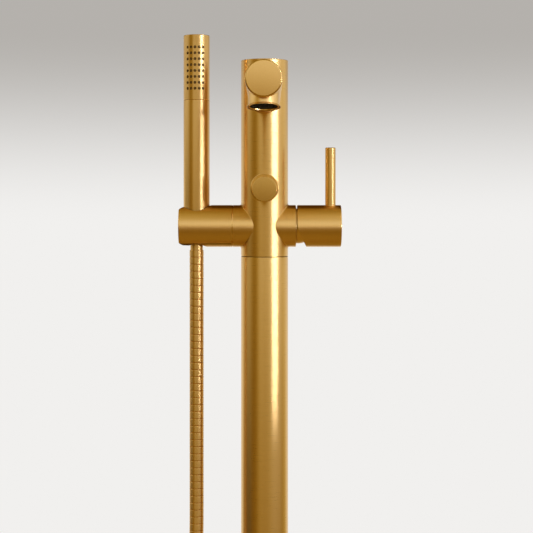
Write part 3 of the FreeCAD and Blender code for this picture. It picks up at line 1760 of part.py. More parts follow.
def hose_path(points):
    """Straight runs joined by the largest tangent arcs, with the radius of each arc."""
    edges = []
    radii = []
    last = points[0]
    for before, corner, after in zip(points, points[1:], points[2:]):
        back = before - corner
        ahead = after - corner
        reach = HOSE_BEND_SHARE * min(back.Length, ahead.Length)
        turn = math.pi - back.getAngle(ahead)
        radii.append(reach / math.tan(turn / 2))
        back.normalize()
        ahead.normalize()
        first, end = corner + back * reach, corner + ahead * reach
        inward = back + ahead
        inward.normalize()
        gap = radii[-1] / math.cos(turn / 2) - radii[-1]
        edges.append(Part.LineSegment(last, first).toShape())
        edges.append(Part.Arc(first, corner + inward * gap, end).toShape())
        last = end
    edges.append(Part.LineSegment(last, points[-1]).toShape())
    return edges, radii


def place_along(edges, distance):
    """Point and direction at a distance along a chain of edges."""
    for edge in edges[:-1]:
        if distance <= edge.Length:
            break
        distance -= edge.Length
    else:
        edge = edges[-1]
    parameter = edge.getParameterByLength(min(distance, edge.Length))
    return edge.valueAt(parameter), edge.tangentAt(parameter)


def hose():
    """Ribbed metal hose with its bore, hanging in a loop from the handset to the outlet."""
    edges, radii = hose_path(hose_points())
    length = sum(edge.Length for edge in edges)
    plane = Vector(0, 0, 1).cross(hose_points()[-1] - hose_points()[0])
    plane.normalize()
    crest = float(dim.hose_diameter) / 2
    valley = crest - float(dim.hose_rib_depth)
    bore = float(dim.hose_bore) / 2

    def ring(distance, radius):
        middle, way = place_along(edges, distance)
        circle = Part.Circle(middle, way, radius)
        circle.XAxis = plane
        return Part.Wire([circle.toShape()])

    straight = float(dim.hose_diameter)
    pitch = (length - straight * 2) / HOSE_RIB_COUNT
    outer_rings = [ring(0, valley)]
    for rib in range(HOSE_RIB_COUNT):
        for share, radius in zip(HOSE_RIB_SHARES, (valley, crest, crest, valley)):
            outer_rings.append(ring(straight + (rib + share) * pitch, radius))
    outer_rings.append(ring(length, valley))
    outside = Part.makeLoft(outer_rings, True, True)
    inside = Part.Wire(edges).makePipeShell([ring(0, bore)], True, True)
    solid = outside.cut(inside).Solids[0]
    item = doc.addObject("Part::Feature", "hose")
    item.Shape = solid
    crest_part = sum(HOSE_RIB_SHARES[2:]) / 2 - sum(HOSE_RIB_SHARES[:2]) / 2
    between = math.pi * (valley ** 2 + (crest ** 2 - valley ** 2) * crest_part - bore ** 2) * length
    print("hose length %.1f, ribs %d, pitch %.2f" % (length, HOSE_RIB_COUNT, pitch))
    print("hose bend radii", [round(radius, 1) for radius in radii])
    print("hose volume %.0f, section times length about %.0f" % (solid.Volume, between))
    return place(item, (0, 0, 0))


PIECES = (
    base_flange,
    base_cover,
    cover_seal,
    riser_tube,
    riser_screws,
    lambda: supply_pipe("hot_supply_pipe", 1),
    lambda: supply_pipe("cold_supply_pipe", -1),
    pipe_seals,
    pipe_spacer,
    mixer_body,
    body_seal,
    top_cap,
    top_cap_seal,
    spout_tube,
    spout_seal,
    spout_end_cap,
    outlet_collar,
    aerator_ring,
    aerator_insert,
    aerator_washer,
    cartridge_housing,
    cartridge_seals,
    fixed_disc,
    moving_disc,
    disc_carrier,
    stem_carrier,
    pivot_pin,
    cartridge_stem,
    cartridge_nut,
    dome_cover,
    lever_hub,
    lever_rod,
    hub_grub_screw,
    hub_plug,
    diverter_bush,
    diverter_seal,
    diverter_spindle,
    diverter_washers,
    diverter_spring,
    diverter_knob,
    knob_screw,
    holder_arm,
    holder_stud,
    holder_pin,
    handset_handle,
    handset_head,
    nozzle_insert,
    handset_inlet,
    hose_washer,
    hose_cone_nut,
    handset_tail,
    outlet_tail,
    outlet_washer,
    hose_hex_nut,
    outlet_elbow,
    check_valve,
    hose,
)


def main():
    """Builds every piece, checks the document, and writes one file for each piece."""
    pieces = [make() for make in PIECES]
    doc.recompute()
    for item in doc.Objects:
        if "Invalid" in item.State or "Error" in item.State:
            raise RuntimeError("%s: %s" % (item.Name, item.State))
    for item in pieces:
        if item.Shape.isNull() or not item.Shape.isValid() or not item.Shape.Solids:
            raise RuntimeError("%s has no valid solid" % item.Label)
    os.makedirs("parts", exist_ok=True)
    for item in pieces:
        item.Shape.exportStep("parts/%s.step" % item.Label)
    print("%d pieces written" % len(pieces))


main()
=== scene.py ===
"""Looks of the floor-standing tub filler: brushed gold finish, ribbed hose, studio light and camera.

Sizes are in millimetres, as in the part's source, and are turned into metres where meshes are made.
"""
import json
import math

import bmesh
import bpy
from mathutils import Matrix, Vector

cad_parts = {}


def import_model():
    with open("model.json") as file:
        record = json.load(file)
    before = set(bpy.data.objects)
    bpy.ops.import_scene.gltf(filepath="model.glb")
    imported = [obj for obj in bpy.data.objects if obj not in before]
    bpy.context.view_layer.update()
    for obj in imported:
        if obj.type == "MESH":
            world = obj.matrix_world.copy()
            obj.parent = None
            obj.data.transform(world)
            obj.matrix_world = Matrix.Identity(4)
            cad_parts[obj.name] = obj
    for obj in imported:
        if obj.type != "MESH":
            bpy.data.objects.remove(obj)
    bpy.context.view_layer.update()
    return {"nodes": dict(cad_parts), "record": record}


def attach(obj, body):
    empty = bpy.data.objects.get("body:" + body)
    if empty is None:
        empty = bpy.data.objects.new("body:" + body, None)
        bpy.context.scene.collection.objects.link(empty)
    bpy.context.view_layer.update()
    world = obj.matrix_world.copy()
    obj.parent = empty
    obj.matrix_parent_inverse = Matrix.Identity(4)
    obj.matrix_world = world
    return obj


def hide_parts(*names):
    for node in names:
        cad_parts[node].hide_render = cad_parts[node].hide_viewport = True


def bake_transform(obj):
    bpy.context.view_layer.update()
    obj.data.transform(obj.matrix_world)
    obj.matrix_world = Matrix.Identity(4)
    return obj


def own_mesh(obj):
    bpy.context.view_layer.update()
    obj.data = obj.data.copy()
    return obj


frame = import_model()

MM = 0.001
SEGMENTS = 192
SMALL_SEGMENTS = 48
CORNER_STEPS = 6
SMOOTH_ANGLE = math.radians(32)
# How far cuts run past what they open, the play of a piece in its bore, and how near counts as on a surface
OVERRUN = 2.0
PLAY = 0.1
TOLERANCE = 0.01

# Column and body
COLUMN_R = 22.5
RISER_BORE_R = 20.0
RISER_FOOT = 8.0
SEAM_HEIGHT = 813.0
COLUMN_TOP = 1000.0
SEAM_EDGE = 0.35
SEAM_GAP = 0.45
SEAM_DEPTH = 0.8
CAP_R = 20.0
CAP_SEAT_R = 20.1
CAP_FLOOR = 994.0
# Arms
ARM_HEIGHT = 842.0
ARM_R = 20.0
ARM_EDGE = 0.8
STUB_REACH = 30.0
STUB_FILLET = 1.3
STUB_EDGE = 0.55
STUB_ROOT = 4.0
STUB_ROOT_R = 8.0
STUB_STEPS_INSIDE = 2
HOLDER_STUB_EDGE = 0.08
HOLDER_BEVEL = 1.2
HOLDER_BEVEL_DEPTH = 0.3
NUT_BORE_R = 15.6
NUT_SEAT = 22.0
# Spout
SPOUT_HEIGHT = 963.0
SPOUT_R = 15.0
SPOUT_BORE_R = 13.0
SPOUT_ROOT = 10.0
SPOUT_CAP_SEAM = 217.0
SPOUT_REACH = 220.0
SPOUT_EDGE = 1.3
SPOUT_SEAM_EDGE = 0.1
SPOUT_PLUG = 5.0
OUTLET_REACH = 204.5
OUTLET_HEIGHT = 941.0
OUTLET_TILT = math.radians(9.5)
OUTLET_PLACE = Vector((0, -OUTLET_REACH, OUTLET_HEIGHT))
WATERWAY_R = 8.0
WATERWAY_TOP = 22.0
COLLAR_R = 12.25
COLLAR_BORE_R = 11.0
COLLAR_TOP = 16.0
COLLAR_SHELF = 5.2
LIP_R = 13.75
LIP_THICKNESS = 1.6
LIP_RIM = 0.5
LIP_EDGE = 0.15
LIP_INNER_EDGE = 0.1
LIP_BORE_R = 9.8
LIP_MOUTH_R = 13.2
LIP_SEAT = 1.2
LIP_STEP_R = 11.2
LIP_LEDGE = 0.4
LIP_LINE_R = 12.4
LIP_LINE = 0.17
SLEEVE_LENGTH = 3.6
# Diverter
DIVERTER_HEIGHT = 877.0
DIVERTER_BORE_R = 9.1
DIVERTER_SEAT = 6.0
KNOB_R = 11.5
KNOB_BACK = 24.5
KNOB_FRONT = 45.0
KNOB_BORE_R = 4.05
KNOB_BORE_END = 40.0
KNOB_EDGE = 0.4
BOSS_R = 12.4
BOSS_LIFT = 1.4
BOSS_FLARE = 1.0
BOSS_ROOT = 17.0
BOSS_FOOT = 22.2
BOSS_FRONT = 24.0
SPRING_BACK = -1.5
SPRING_SEAT = 17.0
SPRING_R = 4.8
SPRING_WIRE_R = 0.4
SPRING_TURNS = 6
SPRING_STEPS = 24
SPRING_SIDES = 8
KNOB_SCREW_REACH = 34.0
KNOB_SCREW_R = 2.05
# Lever
HUB_START = 31.2
HUB_END = 73.0
HUB_CAVITY_R = 17.1
HUB_CAVITY_END = 66.0
HUB_BOSS_R = 9.0
HUB_BOSS_START = 50.0
HUB_NOTCH_START = 2.5
HUB_NOTCH_DEPTH = 8.8
HUB_GRUB_REACH = 54.5
HUB_GRUB_R = 2.55
HUB_SQUARE_HALF = 3.1
HUB_SQUARE_END = 59.0
LEVER_REACH = 63.0
LEVER_R = 5.0
LEVER_TOP = 917.0
LEVER_FOOT = 851.0
LEVER_EDGE = 0.9
LEVER_PLAY = 0.05
LEVER_PIN = 6.0
LEVER_PIN_R = 3.0
# Holder and handset
HOLDER_END = 81.5
HANDSET_REACH = 65.0
SOCKET_R = 13.7
SOCKET_OUTLET_R = 10.2
SOCKET_SHOULDER = 850.0
SOCKET_OUTLET = 826.0
SOCKET_MOUTH = 0.6
SLOT_HALF = 7.2
SLOT_NECK = 77.5
SLOT_NECK_HALF = 8.2
SLOT_MOUTH_HALF = 12.0
HANDSET_R = 12.5
HANDSET_BORE_R = 10.5
HANDSET_FOOT = 848.0
HANDSET_SEAM = 962.0
HANDSET_TOP = 1024.0
HEAD_BORE_R = 10.6
HEAD_ROOF = 1021.5
HEAD_FLOOR = 2.0
HEAD_EDGE = 0.7
SPIGOT_LENGTH = 12.0
SPIGOT_R = 10.4
SPIGOT_BORE_R = 9.2
NOZZLE_ROWS = 8
NOZZLE_COLUMNS = 5
NOZZLE_FIRST = 1012.0
NOZZLE_PITCH = 5.6
NOZZLE_STEP = 18.0
NOZZLE_CENTRE = -94.0
NOZZLE_R = 1.35
NOZZLE_SEGMENTS = 24
# Floor cover
COVER_R = 65.0
COVER_HEIGHT = 20.0
COVER_WALL = 2.5
COVER_EDGE = 4.0
COVER_BORE_R = 22.8
COVER_BORE_EDGE = 0.5
COVER_COLLAR = 8.0
COVER_COLLAR_R = 26.0
# Hose: the part's route, in the upright plane from the handset's axis to the outlet behind the column
HOSE_R = 6.75
HOSE_GROOVE_R = 6.05
HOSE_RIB_PITCH = 6.7
HOSE_PLAIN_END = 6.0
HOSE_SEGMENTS = 40
HOSE_RESOLUTION = 96
HOSE_SMOOTH_ANGLE = math.radians(60)
HOSE_OUTLET_REACH = 58.0
HOSE_ROUTE = (
    (0, 825),
    (0, 744),
    (0, 610),
    (0, 530),
    (-8, 365),
    (-23, 257),
    (-37, 190),
    (-10, 140),
    (43.5, 120),
    (97, 140),
    (124, 190),
    (110, 257),
    (99, 365),
    (92, 500),
    (88.5, 640),
    (87.1, 735),
    (87.1, 825),
)
# One rib of the hose: place along its pitch and share of the rib's height
HOSE_RIB = (
    (0.0, 0.0),
    (0.025, 0.58),
    (0.045, 0.90),
    (0.08, 0.98),
    (0.15, 1.0),
    (0.50, 1.0),
    (0.85, 1.0),
    (0.92, 0.98),
    (0.955, 0.90),
    (0.975, 0.58),
)

AXES = {
    "+X": Vector((1, 0, 0)),
    "-X": Vector((-1, 0, 0)),
    "+Y": Vector((0, 1, 0)),
    "-Y": Vector((0, -1, 0)),
    "+Z": Vector((0, 0, 1)),
    "-Z": Vector((0, 0, -1)),
}


# Mesh helpers


def soften(outline):
    """Points of an outline of (radius, height, edge radius), with each edge made into a short arc."""
    points = []
    count = len(outline)
    for index, entry in enumerate(outline):
        corner = Vector(entry[:2])
        edge = entry[2] if len(entry) > 2 else 0.0
        if not edge:
            points.append(corner)
            continue
        back = (Vector(outline[index - 1][:2]) - corner).normalized()
        ahead = (Vector(outline[(index + 1) % count][:2]) - corner).normalized()
        half = back.angle(ahead) / 2
        reach = edge / math.tan(half)
        centre = corner + (back + ahead).normalized() * (edge / math.sin(half))
        first = corner + back * reach - centre
        last = corner + ahead * reach - centre
        for step in range(CORNER_STEPS + 1):
            points.append(centre + first.slerp(last, step / CORNER_STEPS) * edge)
    return points


def turned(outline, at=(0, 0, 0), facing="+Z", segments=SEGMENTS):
    """Mesh of a turned piece: a closed outline of (radius, height, edge radius) spun round its axis."""
    mesh = bmesh.new()
    rings = []
    for radius, height in soften(outline):
        if radius < TOLERANCE:
            rings.append([mesh.verts.new((0, 0, height * MM))])
            continue
        ring = []
        for step in range(segments):
            angle = 2 * math.pi * step / segments
            spot = (radius * math.cos(angle) * MM, radius * math.sin(angle) * MM, height * MM)
            ring.append(mesh.verts.new(spot))
        rings.append(ring)
    for first, second in zip(rings, rings[1:] + rings[:1]):
        if len(first) == 1 and len(second) == 1:
            continue
        for step in range(segments):
            following = (step + 1) % segments
            corners = [first[step % len(first)], first[following % len(first)]]
            corners += [second[following % len(second)], second[step % len(second)]]
            mesh.faces.new(list(dict.fromkeys(corners)))
    bmesh.ops.recalc_face_normals(mesh, faces=mesh.faces)
    turn = AXES["+Z"].rotation_difference(AXES[facing]).to_matrix().to_4x4()
    mesh.transform(Matrix.Translation(Vector(at) * MM) @ turn)
    return mesh


def rod(radius, start, length, facing, segments=SEGMENTS):
    """Plain cylinder from a point, used to cut other meshes."""
    return turned([(0, 0), (radius, 0), (radius, length), (0, length)], start, facing, segments)


def prism(corners, low, high, plane="XY"):
    """Flat outline given a depth between two levels."""
    mesh = bmesh.new()
    rims = []
    for level in (low, high):
        if plane == "XY":
            rims.append([mesh.verts.new((x * MM, y * MM, level * MM)) for x, y in corners])
        else:
            rims.append([mesh.verts.new((x * MM, level * MM, z * MM)) for x, z in corners])
    mesh.faces.new(rims[0])
    mesh.faces.new(rims[1])
    count = len(corners)
    for index in range(count):
        following = (index + 1) % count
        mesh.faces.new((rims[0][index], rims[0][following], rims[1][following], rims[1][index]))
    bmesh.ops.recalc_face_normals(mesh, faces=mesh.faces)
    return mesh


def merged(meshes):
    """Several meshes as one."""
    result = bmesh.new()
    for mesh in meshes:
        block = bpy.data.meshes.new("merge")
        mesh.to_mesh(block)
        mesh.free()
        result.from_mesh(block)
        bpy.data.meshes.remove(block)
    return result


def circle(centre, first, second, radius, count):
    """Points of a circle in the plane of two directions."""
    angles = [2 * math.pi * step / count for step in range(count)]
    return [centre + (first * math.cos(angle) + second * math.sin(angle)) * radius for angle in angles]


def skin(loops):
    """Closed tube through loops of points."""
    mesh = bmesh.new()
    rings = [[mesh.verts.new(point) for point in loop] for loop in loops]
    for first, second in zip(rings, rings[1:]):
        for index in range(len(first)):
            following = (index + 1) % len(first)
            mesh.faces.new((first[index], first[following], second[following], second[index]))
    mesh.faces.new(rings[0])
    mesh.faces.new(rings[-1])
    bmesh.ops.recalc_face_normals(mesh, faces=mesh.faces)
    return mesh


def to_object(name, mesh):
    """New object in the scene with a mesh as its data."""
    data = bpy.data.meshes.new(name)
    mesh.to_mesh(data)
    mesh.free()
    item = bpy.data.objects.new(name, data)
    bpy.context.scene.collection.objects.link(item)
    return item


def combine(item, mesh, operation):
    """Cuts a mesh out of a piece, or joins it on."""
    tool = to_object("tool", mesh)
    modifier = item.modifiers.new("combine", "BOOLEAN")
    modifier.operation = operation
    modifier.solver = "EXACT"
    modifier.object = tool
    bpy.context.view_layer.update()
    result = bpy.data.meshes.new_from_object(item.evaluated_get(bpy.context.evaluated_depsgraph_get()))
    item.modifiers.clear()
    old = item.data
    item.data = result
    result.name = item.name
    bpy.data.meshes.remove(old)
    tool_data = tool.data
    bpy.data.objects.remove(tool)
    bpy.data.meshes.remove(tool_data)
    return item


def true_normals(item, rounds):
    """Gives corners on round faces the exact direction of their cylinder, so cuts leave no shading marks."""
    mesh = item.data
    normals = [Vector(corner.vector) for corner in mesh.corner_normals]
    for polygon in mesh.polygons:
        for radius, at, facing in rounds:
            axis = AXES[facing]
            arms = []
            for corner in polygon.loop_indices:
                arm = mesh.vertices[mesh.loops[corner].vertex_index].co - Vector(at) * MM
                arms.append(arm - axis * arm.dot(axis))
            if max(abs(arm.length - radius * MM) for arm in arms) > TOLERANCE * MM:
                continue
            for corner, arm in zip(polygon.loop_indices, arms):
                normals[corner] = arm.normalized() * (1 if polygon.normal.dot(arm) > 0 else -1)
            break
    mesh.normals_split_custom_set(normals)


def piece(name, mesh, body, nodes, cuts=(), joins=(), rounds=()):
    """A gold piece that rides on a body and stands for CAD nodes."""
    item = to_object(name, mesh)
    for join in joins:
        combine(item, join, "UNION")
    for cut in cuts:
        combine(item, cut, "DIFFERENCE")
    item.data.shade_smooth()
    item.data.set_sharp_from_angle(angle=SMOOTH_ANGLE)
    if rounds:
        true_normals(item, rounds)
    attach(item, body)
    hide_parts(*nodes)
    return item


# Node helpers


def node_material(name):
    """New material, with its nodes and its shader."""
    material = bpy.data.materials.new(name)
    material.use_nodes = True
    return material, material.node_tree, material.node_tree.nodes["Principled BSDF"]


def feed(tree, socket, value):
    """Sets a socket, or joins another node's output to it."""
    if isinstance(value, bpy.types.NodeSocket):
        tree.links.new(value, socket)
    elif value is not None:
        socket.default_value = value


def number(tree, operation, first, second=None):
    """One step of arithmetic on a number."""
    item = tree.nodes.new("ShaderNodeMath")
    item.operation = operation
    feed(tree, item.inputs[0], first)
    feed(tree, item.inputs[1], second)
    return item.outputs["Value"]


def vector_math(tree, operation, first, second=None):
    """One step of arithmetic on a place or direction."""
    item = tree.nodes.new("ShaderNodeVectorMath")
    item.operation = operation
    feed(tree, item.inputs[0], first)
    feed(tree, item.inputs[1], second)
    return item.outputs["Vector"]


def ramp(tree, value, span, ends=(0, 1), kind="SMOOTHSTEP"):
    """Change from one end to the other while a value runs through a span."""
    item = tree.nodes.new("ShaderNodeMapRange")
    item.interpolation_type = kind
    for name, level in zip(("From Min", "From Max", "To Min", "To Max"), (*span, *ends)):
        item.inputs[name].default_value = level
    tree.links.new(value, item.inputs["Value"])
    return item.outputs["Result"]


def mixed(tree, factor, first, second):
    """Two colours mixed by a factor."""
    item = tree.nodes.new("ShaderNodeMix")
    item.data_type = "RGBA"
    feed(tree, item.inputs["Factor"], factor)
    feed(tree, item.inputs["A"], first)
    feed(tree, item.inputs["B"], second)
    return item.outputs["Result"]


def noise(tree, place, scale):
    """Soft random pattern over a place."""
    item = tree.nodes.new("ShaderNodeTexNoise")
    item.inputs["Scale"].default_value = scale
    item.inputs["Detail"].default_value = PATTERN_DETAIL
    tree.links.new(place, item.inputs["Vector"])
    return item.outputs["Fac"]


def object_place(tree):
    """Place of a surface point, in metres."""
    return tree.nodes.new("ShaderNodeTexCoord").outputs["Object"]


# Materials
GOLD = (0.80, 0.51, 0.18, 1.0)
# Lighter copy of the gold for end faces: painted light
GOLD_FACE_PAINTED_LIGHT = (0.88, 0.57, 0.21, 1.0)
# Darker copy of the gold for the knob's face: painted shade
GOLD_KNOB_PAINTED_SHADE = (0.66, 0.40, 0.11, 1.0)
# Dark gold for faces in seams, gaps and the socket, and a line in the outlet's mouth: painted shade
GOLD_PAINTED_SHADE = (0.13, 0.07, 0.015, 1.0)
GOLD_ROUGHNESS = 0.34
COLUMN_ROUGHNESS = 0.29
FACE_ROUGHNESS = 0.34
EDGE_ROUGHNESS = 0.2
PAINTED_SHADE_ROUGHNESS = 0.6
HOSE_ROUGHNESS = 0.37
# How far highlights stretch, and the turn that lays them square to the tangent
GOLD_ANISOTROPY = 0.8
COLUMN_ANISOTROPY = 0.5
ANISOTROPY_TURN = 0.25
# Patterns, in repeats per metre, and their levels of detail
BRUSH_FREQUENCY = 2600.0
BRUSH_STRETCH = 60.0
METAL_GRAIN = 900.0
HOSE_GRAIN = 4000.0
PLASTIC_GRAIN = 1500.0
PATTERN_DETAIL = 2.0
# What the patterns change: roughness, colour, and relief as its strength and its depth in metres
BRUSH_SPREAD = 0.04
GRAIN_SPREAD = 0.03
METAL_TINT = 0.06
PLASTIC_TINT = 0.1
BRUSH_RELIEF = (0.06, 0.00005)
METAL_RELIEF = (0.04, 0.00003)
PLASTIC_RELIEF = (0.05, 0.0001)
PLASTIC_GLOSS = 0.5


def tint(tree, shader, pattern, colour, amount):
    """Base colour a little darker and lighter by a pattern."""
    darker = [value * (1 - amount) for value in colour[:3]] + [1.0]
    lighter = [min(value * (1 + amount), 1.0) for value in colour[:3]] + [1.0]
    tree.links.new(mixed(tree, pattern, darker, lighter), shader.inputs["Base Color"])


def vary(tree, shader, pattern, roughness, spread):
    """Roughness a little lower and higher by a pattern."""
    rough = ramp(tree, pattern, (0, 1), (roughness - spread, roughness + spread), "LINEAR")
    tree.links.new(rough, shader.inputs["Roughness"])


def roughen(tree, shader, pattern, relief):
    """Fine relief by a pattern."""
    bump = tree.nodes.new("ShaderNodeBump")
    strength, depth = relief
    bump.inputs["Strength"].default_value = strength
    bump.inputs["Distance"].default_value = depth
    tree.links.new(pattern, bump.inputs["Height"])
    tree.links.new(bump.outputs["Normal"], shader.inputs["Normal"])


def stretch(tree, shader, tangent, amount):
    """Highlights stretched square to a direction along the surface."""
    shader.inputs["Anisotropic"].default_value = amount
    shader.inputs["Anisotropic Rotation"].default_value = ANISOTROPY_TURN
    tree.links.new(vector_math(tree, "NORMALIZE", tangent), shader.inputs["Tangent"])


def brushed_gold(name, axis, centre, roughness=GOLD_ROUGHNESS, anisotropy=GOLD_ANISOTROPY):
    """Gold brushed round an axis: highlights stretch along it, and fine lines run round it."""
    material, tree, shader = node_material(name)
    shader.inputs["Metallic"].default_value = 1.0
    place = object_place(tree)
    arm = vector_math(tree, "SUBTRACT", place, Vector(centre) * MM)
    to_world = tree.nodes.new("ShaderNodeVectorTransform")
    to_world.vector_type = "VECTOR"
    to_world.convert_from = "OBJECT"
    to_world.convert_to = "WORLD"
    tree.links.new(vector_math(tree, "CROSS_PRODUCT", AXES[axis], arm), to_world.inputs["Vector"])
    stretch(tree, shader, to_world.outputs["Vector"], anisotropy)
    scale = [BRUSH_STRETCH] * 3
    scale["XYZ".index(axis[1])] = BRUSH_FREQUENCY
    lines = noise(tree, vector_math(tree, "MULTIPLY", place, scale), 1.0)
    vary(tree, shader, lines, roughness, BRUSH_SPREAD)
    tint(tree, shader, lines, GOLD, METAL_TINT)
    roughen(tree, shader, lines, BRUSH_RELIEF)
    return material


def satin_metal(name, colour, roughness, grain=METAL_GRAIN):
    """Even satin metal with a fine grain, for end faces and small brass and steel pieces."""
    material, tree, shader = node_material(name)
    shader.inputs["Metallic"].default_value = 1.0
    speckle = noise(tree, object_place(tree), grain)
    vary(tree, shader, speckle, roughness, GRAIN_SPREAD)
    tint(tree, shader, speckle, colour, METAL_TINT)
    roughen(tree, shader, speckle, METAL_RELIEF)
    return material


def spun_metal(name, colour, roughness, grain):
    """Metal of upright tubes in any place: the tangent is level, so highlights stretch along them."""
    material = satin_metal(name, colour, roughness, grain)
    tree = material.node_tree
    normal = tree.nodes.new("ShaderNodeNewGeometry").outputs["Normal"]
    level = vector_math(tree, "CROSS_PRODUCT", AXES["+Z"], normal)
    stretch(tree, tree.nodes["Principled BSDF"], level, GOLD_ANISOTROPY)
    return material


def moulded(name, colour, roughness, gloss=PLASTIC_GLOSS):
    """Moulded plastic, rubber or ceramic with a faint uneven surface."""
    material, tree, shader = node_material(name)
    shader.inputs["Roughness"].default_value = roughness
    shader.inputs["Specular IOR Level"].default_value = gloss
    cloud = noise(tree, object_place(tree), PLASTIC_GRAIN)
    tint(tree, shader, cloud, colour, PLASTIC_TINT)
    roughen(tree, shader, cloud, PLASTIC_RELIEF)
    return material


UPRIGHT = brushed_gold("gold_column", "+Z", (0, 0, 0), COLUMN_ROUGHNESS, COLUMN_ANISOTROPY)
ARM = brushed_gold("gold_arm", "+X", (0, 0, ARM_HEIGHT))
SPOUT = brushed_gold("gold_spout", "+Y", (0, 0, SPOUT_HEIGHT))
KNOB = brushed_gold("gold_knob", "+Y", (0, 0, DIVERTER_HEIGHT))
LEVER = brushed_gold("gold_lever", "+Z", (LEVER_REACH, 0, 0))
HANDSET = brushed_gold("gold_handset", "+Z", (-HANDSET_REACH, 0, 0))
# End faces: a lighter copy of the gold, painted light
FACE = satin_metal("gold_face_painted_light", GOLD_FACE_PAINTED_LIGHT, FACE_ROUGHNESS)
# The knob's face: a darker copy of the gold, painted shade
KNOB_FACE = satin_metal("gold_knob_face_painted_shade", GOLD_KNOB_PAINTED_SHADE, FACE_ROUGHNESS)
EDGE = satin_metal("gold_edge", GOLD, EDGE_ROUGHNESS)
# Painted shade: dark gold put on faces where shade falls in seams, gaps and the socket
PAINTED_SHADE = satin_metal("gold_painted_shade", GOLD_PAINTED_SHADE, PAINTED_SHADE_ROUGHNESS)
HOSE_METAL = spun_metal("hose_metal", GOLD, HOSE_ROUGHNESS, HOSE_GRAIN)

# Finishes by the record's material slots
CAD_FINISHES = {
    "brushed_gold": FACE,
    "hose_metal": HOSE_METAL,
    "plain_brass": satin_metal("plain_brass", colour=(0.70, 0.47, 0.18, 1.0), roughness=0.32),
    "steel": satin_metal("steel", colour=(0.56, 0.56, 0.57, 1.0), roughness=0.28),
    "rubber": moulded("rubber", colour=(0.018, 0.018, 0.018, 1.0), roughness=0.65),
    "nozzle_rubber": moulded("nozzle_rubber", colour=(0.13, 0.065, 0.012, 1.0), roughness=0.6, gloss=0.2),
    "black_plastic": moulded("black_plastic", colour=(0.006, 0.006, 0.006, 1.0), roughness=0.7, gloss=0.12),
    "white_plastic": moulded("white_plastic", colour=(0.75, 0.75, 0.73, 1.0), roughness=0.45),
    "ceramic": moulded("ceramic", colour=(0.84, 0.82, 0.78, 1.0), roughness=0.2),
}

# How closely a face looks along its piece's axis where it is an end, or part of a rounded edge
END_LEAN = 0.995
EDGE_LEAN = 0.06


def paint(item, side, end=FACE, axis=None, edge=None, choose=()):
    """Finishes a piece: chosen places first, then ends square to its axis, rounded edges and the side."""
    item.data.materials.clear()
    finishes = [side, end] + [edge] * bool(edge) + [material for material, _ in choose]
    for material in dict.fromkeys(finishes):
        item.data.materials.append(material)
    names = [material.name for material in item.data.materials]
    for polygon in item.data.polygons:
        spot = polygon.center / MM
        lean = abs(polygon.normal.dot(AXES[axis])) if axis else 0.0
        chosen = [material for material, inside in choose if inside(spot)]
        if chosen:
            material = chosen[0]
        elif lean > END_LEAN:
            material = end
        elif edge and lean > EDGE_LEAN:
            material = edge
        else:
            material = side
        polygon.material_index = names.index(material.name)
    return item


def paint_cad_nodes():
    """Procedural finish for every CAD node, by the record's material slots."""
    slots = {entry["node"]: entry["material_slot"] for entry in frame["record"]["subparts"]}
    for name, node in frame["nodes"].items():
        for slot in node.material_slots:
            slot.material = CAD_FINISHES[slots[name]]


# Column, body and arms


def riser():
    """Lower tube of the column, up to the seam."""
    outline = [
        (RISER_BORE_R, RISER_FOOT),
        (COLUMN_R, RISER_FOOT),
        (COLUMN_R, SEAM_HEIGHT, SEAM_EDGE),
        (RISER_BORE_R, SEAM_HEIGHT),
    ]
    return paint(piece("riser", turned(outline), "column", ["riser_tube"]), UPRIGHT, axis="+Z", edge=EDGE)


def stub(side, edge):
    """Arm stub with a small round where it leaves the column; its root ends inside the column."""
    mesh = bmesh.new()
    rows = []
    for step in range(SEGMENTS):
        angle = 2 * math.pi * step / SEGMENTS
        out = Vector((0, math.cos(angle), math.sin(angle)))
        across = ARM_R * out.y
        meet = Vector((math.sqrt(COLUMN_R ** 2 - across ** 2), across, ARM_R * out.z))
        column_out = Vector((meet.x, meet.y, 0)) / COLUMN_R
        opening = out.angle(column_out)
        reach = STUB_FILLET * math.tan(opening / 2)
        along = (column_out - out * column_out.dot(out)).normalized()
        first = meet + along * reach
        first.yz = first.yz.normalized() * ARM_R
        centre = first + out * STUB_FILLET
        row = [Vector((STUB_REACH, 0, 0)) + out * (ARM_R - edge)]
        row += [Vector((STUB_REACH - edge, 0, 0)) + out * ARM_R, first]
        for turn in range(1, CORNER_STEPS + STUB_STEPS_INSIDE + 1):
            row.append(centre - out.slerp(column_out, turn / CORNER_STEPS) * STUB_FILLET)
        row.append(Vector((STUB_ROOT, 0, 0)) + out * STUB_ROOT_R)
        rows.append([mesh.verts.new((x * side * MM, y * MM, (z + ARM_HEIGHT) * MM)) for x, y, z in row])
    for first, second in zip(rows, rows[1:] + rows[:1]):
        for index in range(len(first) - 1):
            mesh.faces.new((first[index], second[index], second[index + 1], first[index + 1]))
    mesh.faces.new([row[0] for row in rows])
    mesh.faces.new([row[-1] for row in rows])
    bmesh.ops.recalc_face_normals(mesh, faces=mesh.faces)
    return mesh


def boss():
    """Low boss behind the knob, with a hollow round where it meets the column."""
    outline = [(0, BOSS_ROOT), (BOSS_R + BOSS_FLARE, BOSS_ROOT)]
    for step in range(CORNER_STEPS + 1):
        angle = math.pi / 2 * step / CORNER_STEPS
        inward = BOSS_FLARE * (1 - math.sin(angle))
        outline.append((BOSS_R + inward, BOSS_FOOT + BOSS_FLARE * (1 - math.cos(angle))))
    outline += [(BOSS_R, BOSS_FRONT), (0, BOSS_FRONT)]
    mesh = turned(outline, (0, 0, DIVERTER_HEIGHT + BOSS_LIFT), "-Y")
    cut = rod(DIVERTER_BORE_R, (0, -DIVERTER_SEAT, DIVERTER_HEIGHT), COLUMN_R, "-Y")
    return paint(piece("boss", mesh, "column", ["mixer_body"], [cut]), EDGE)


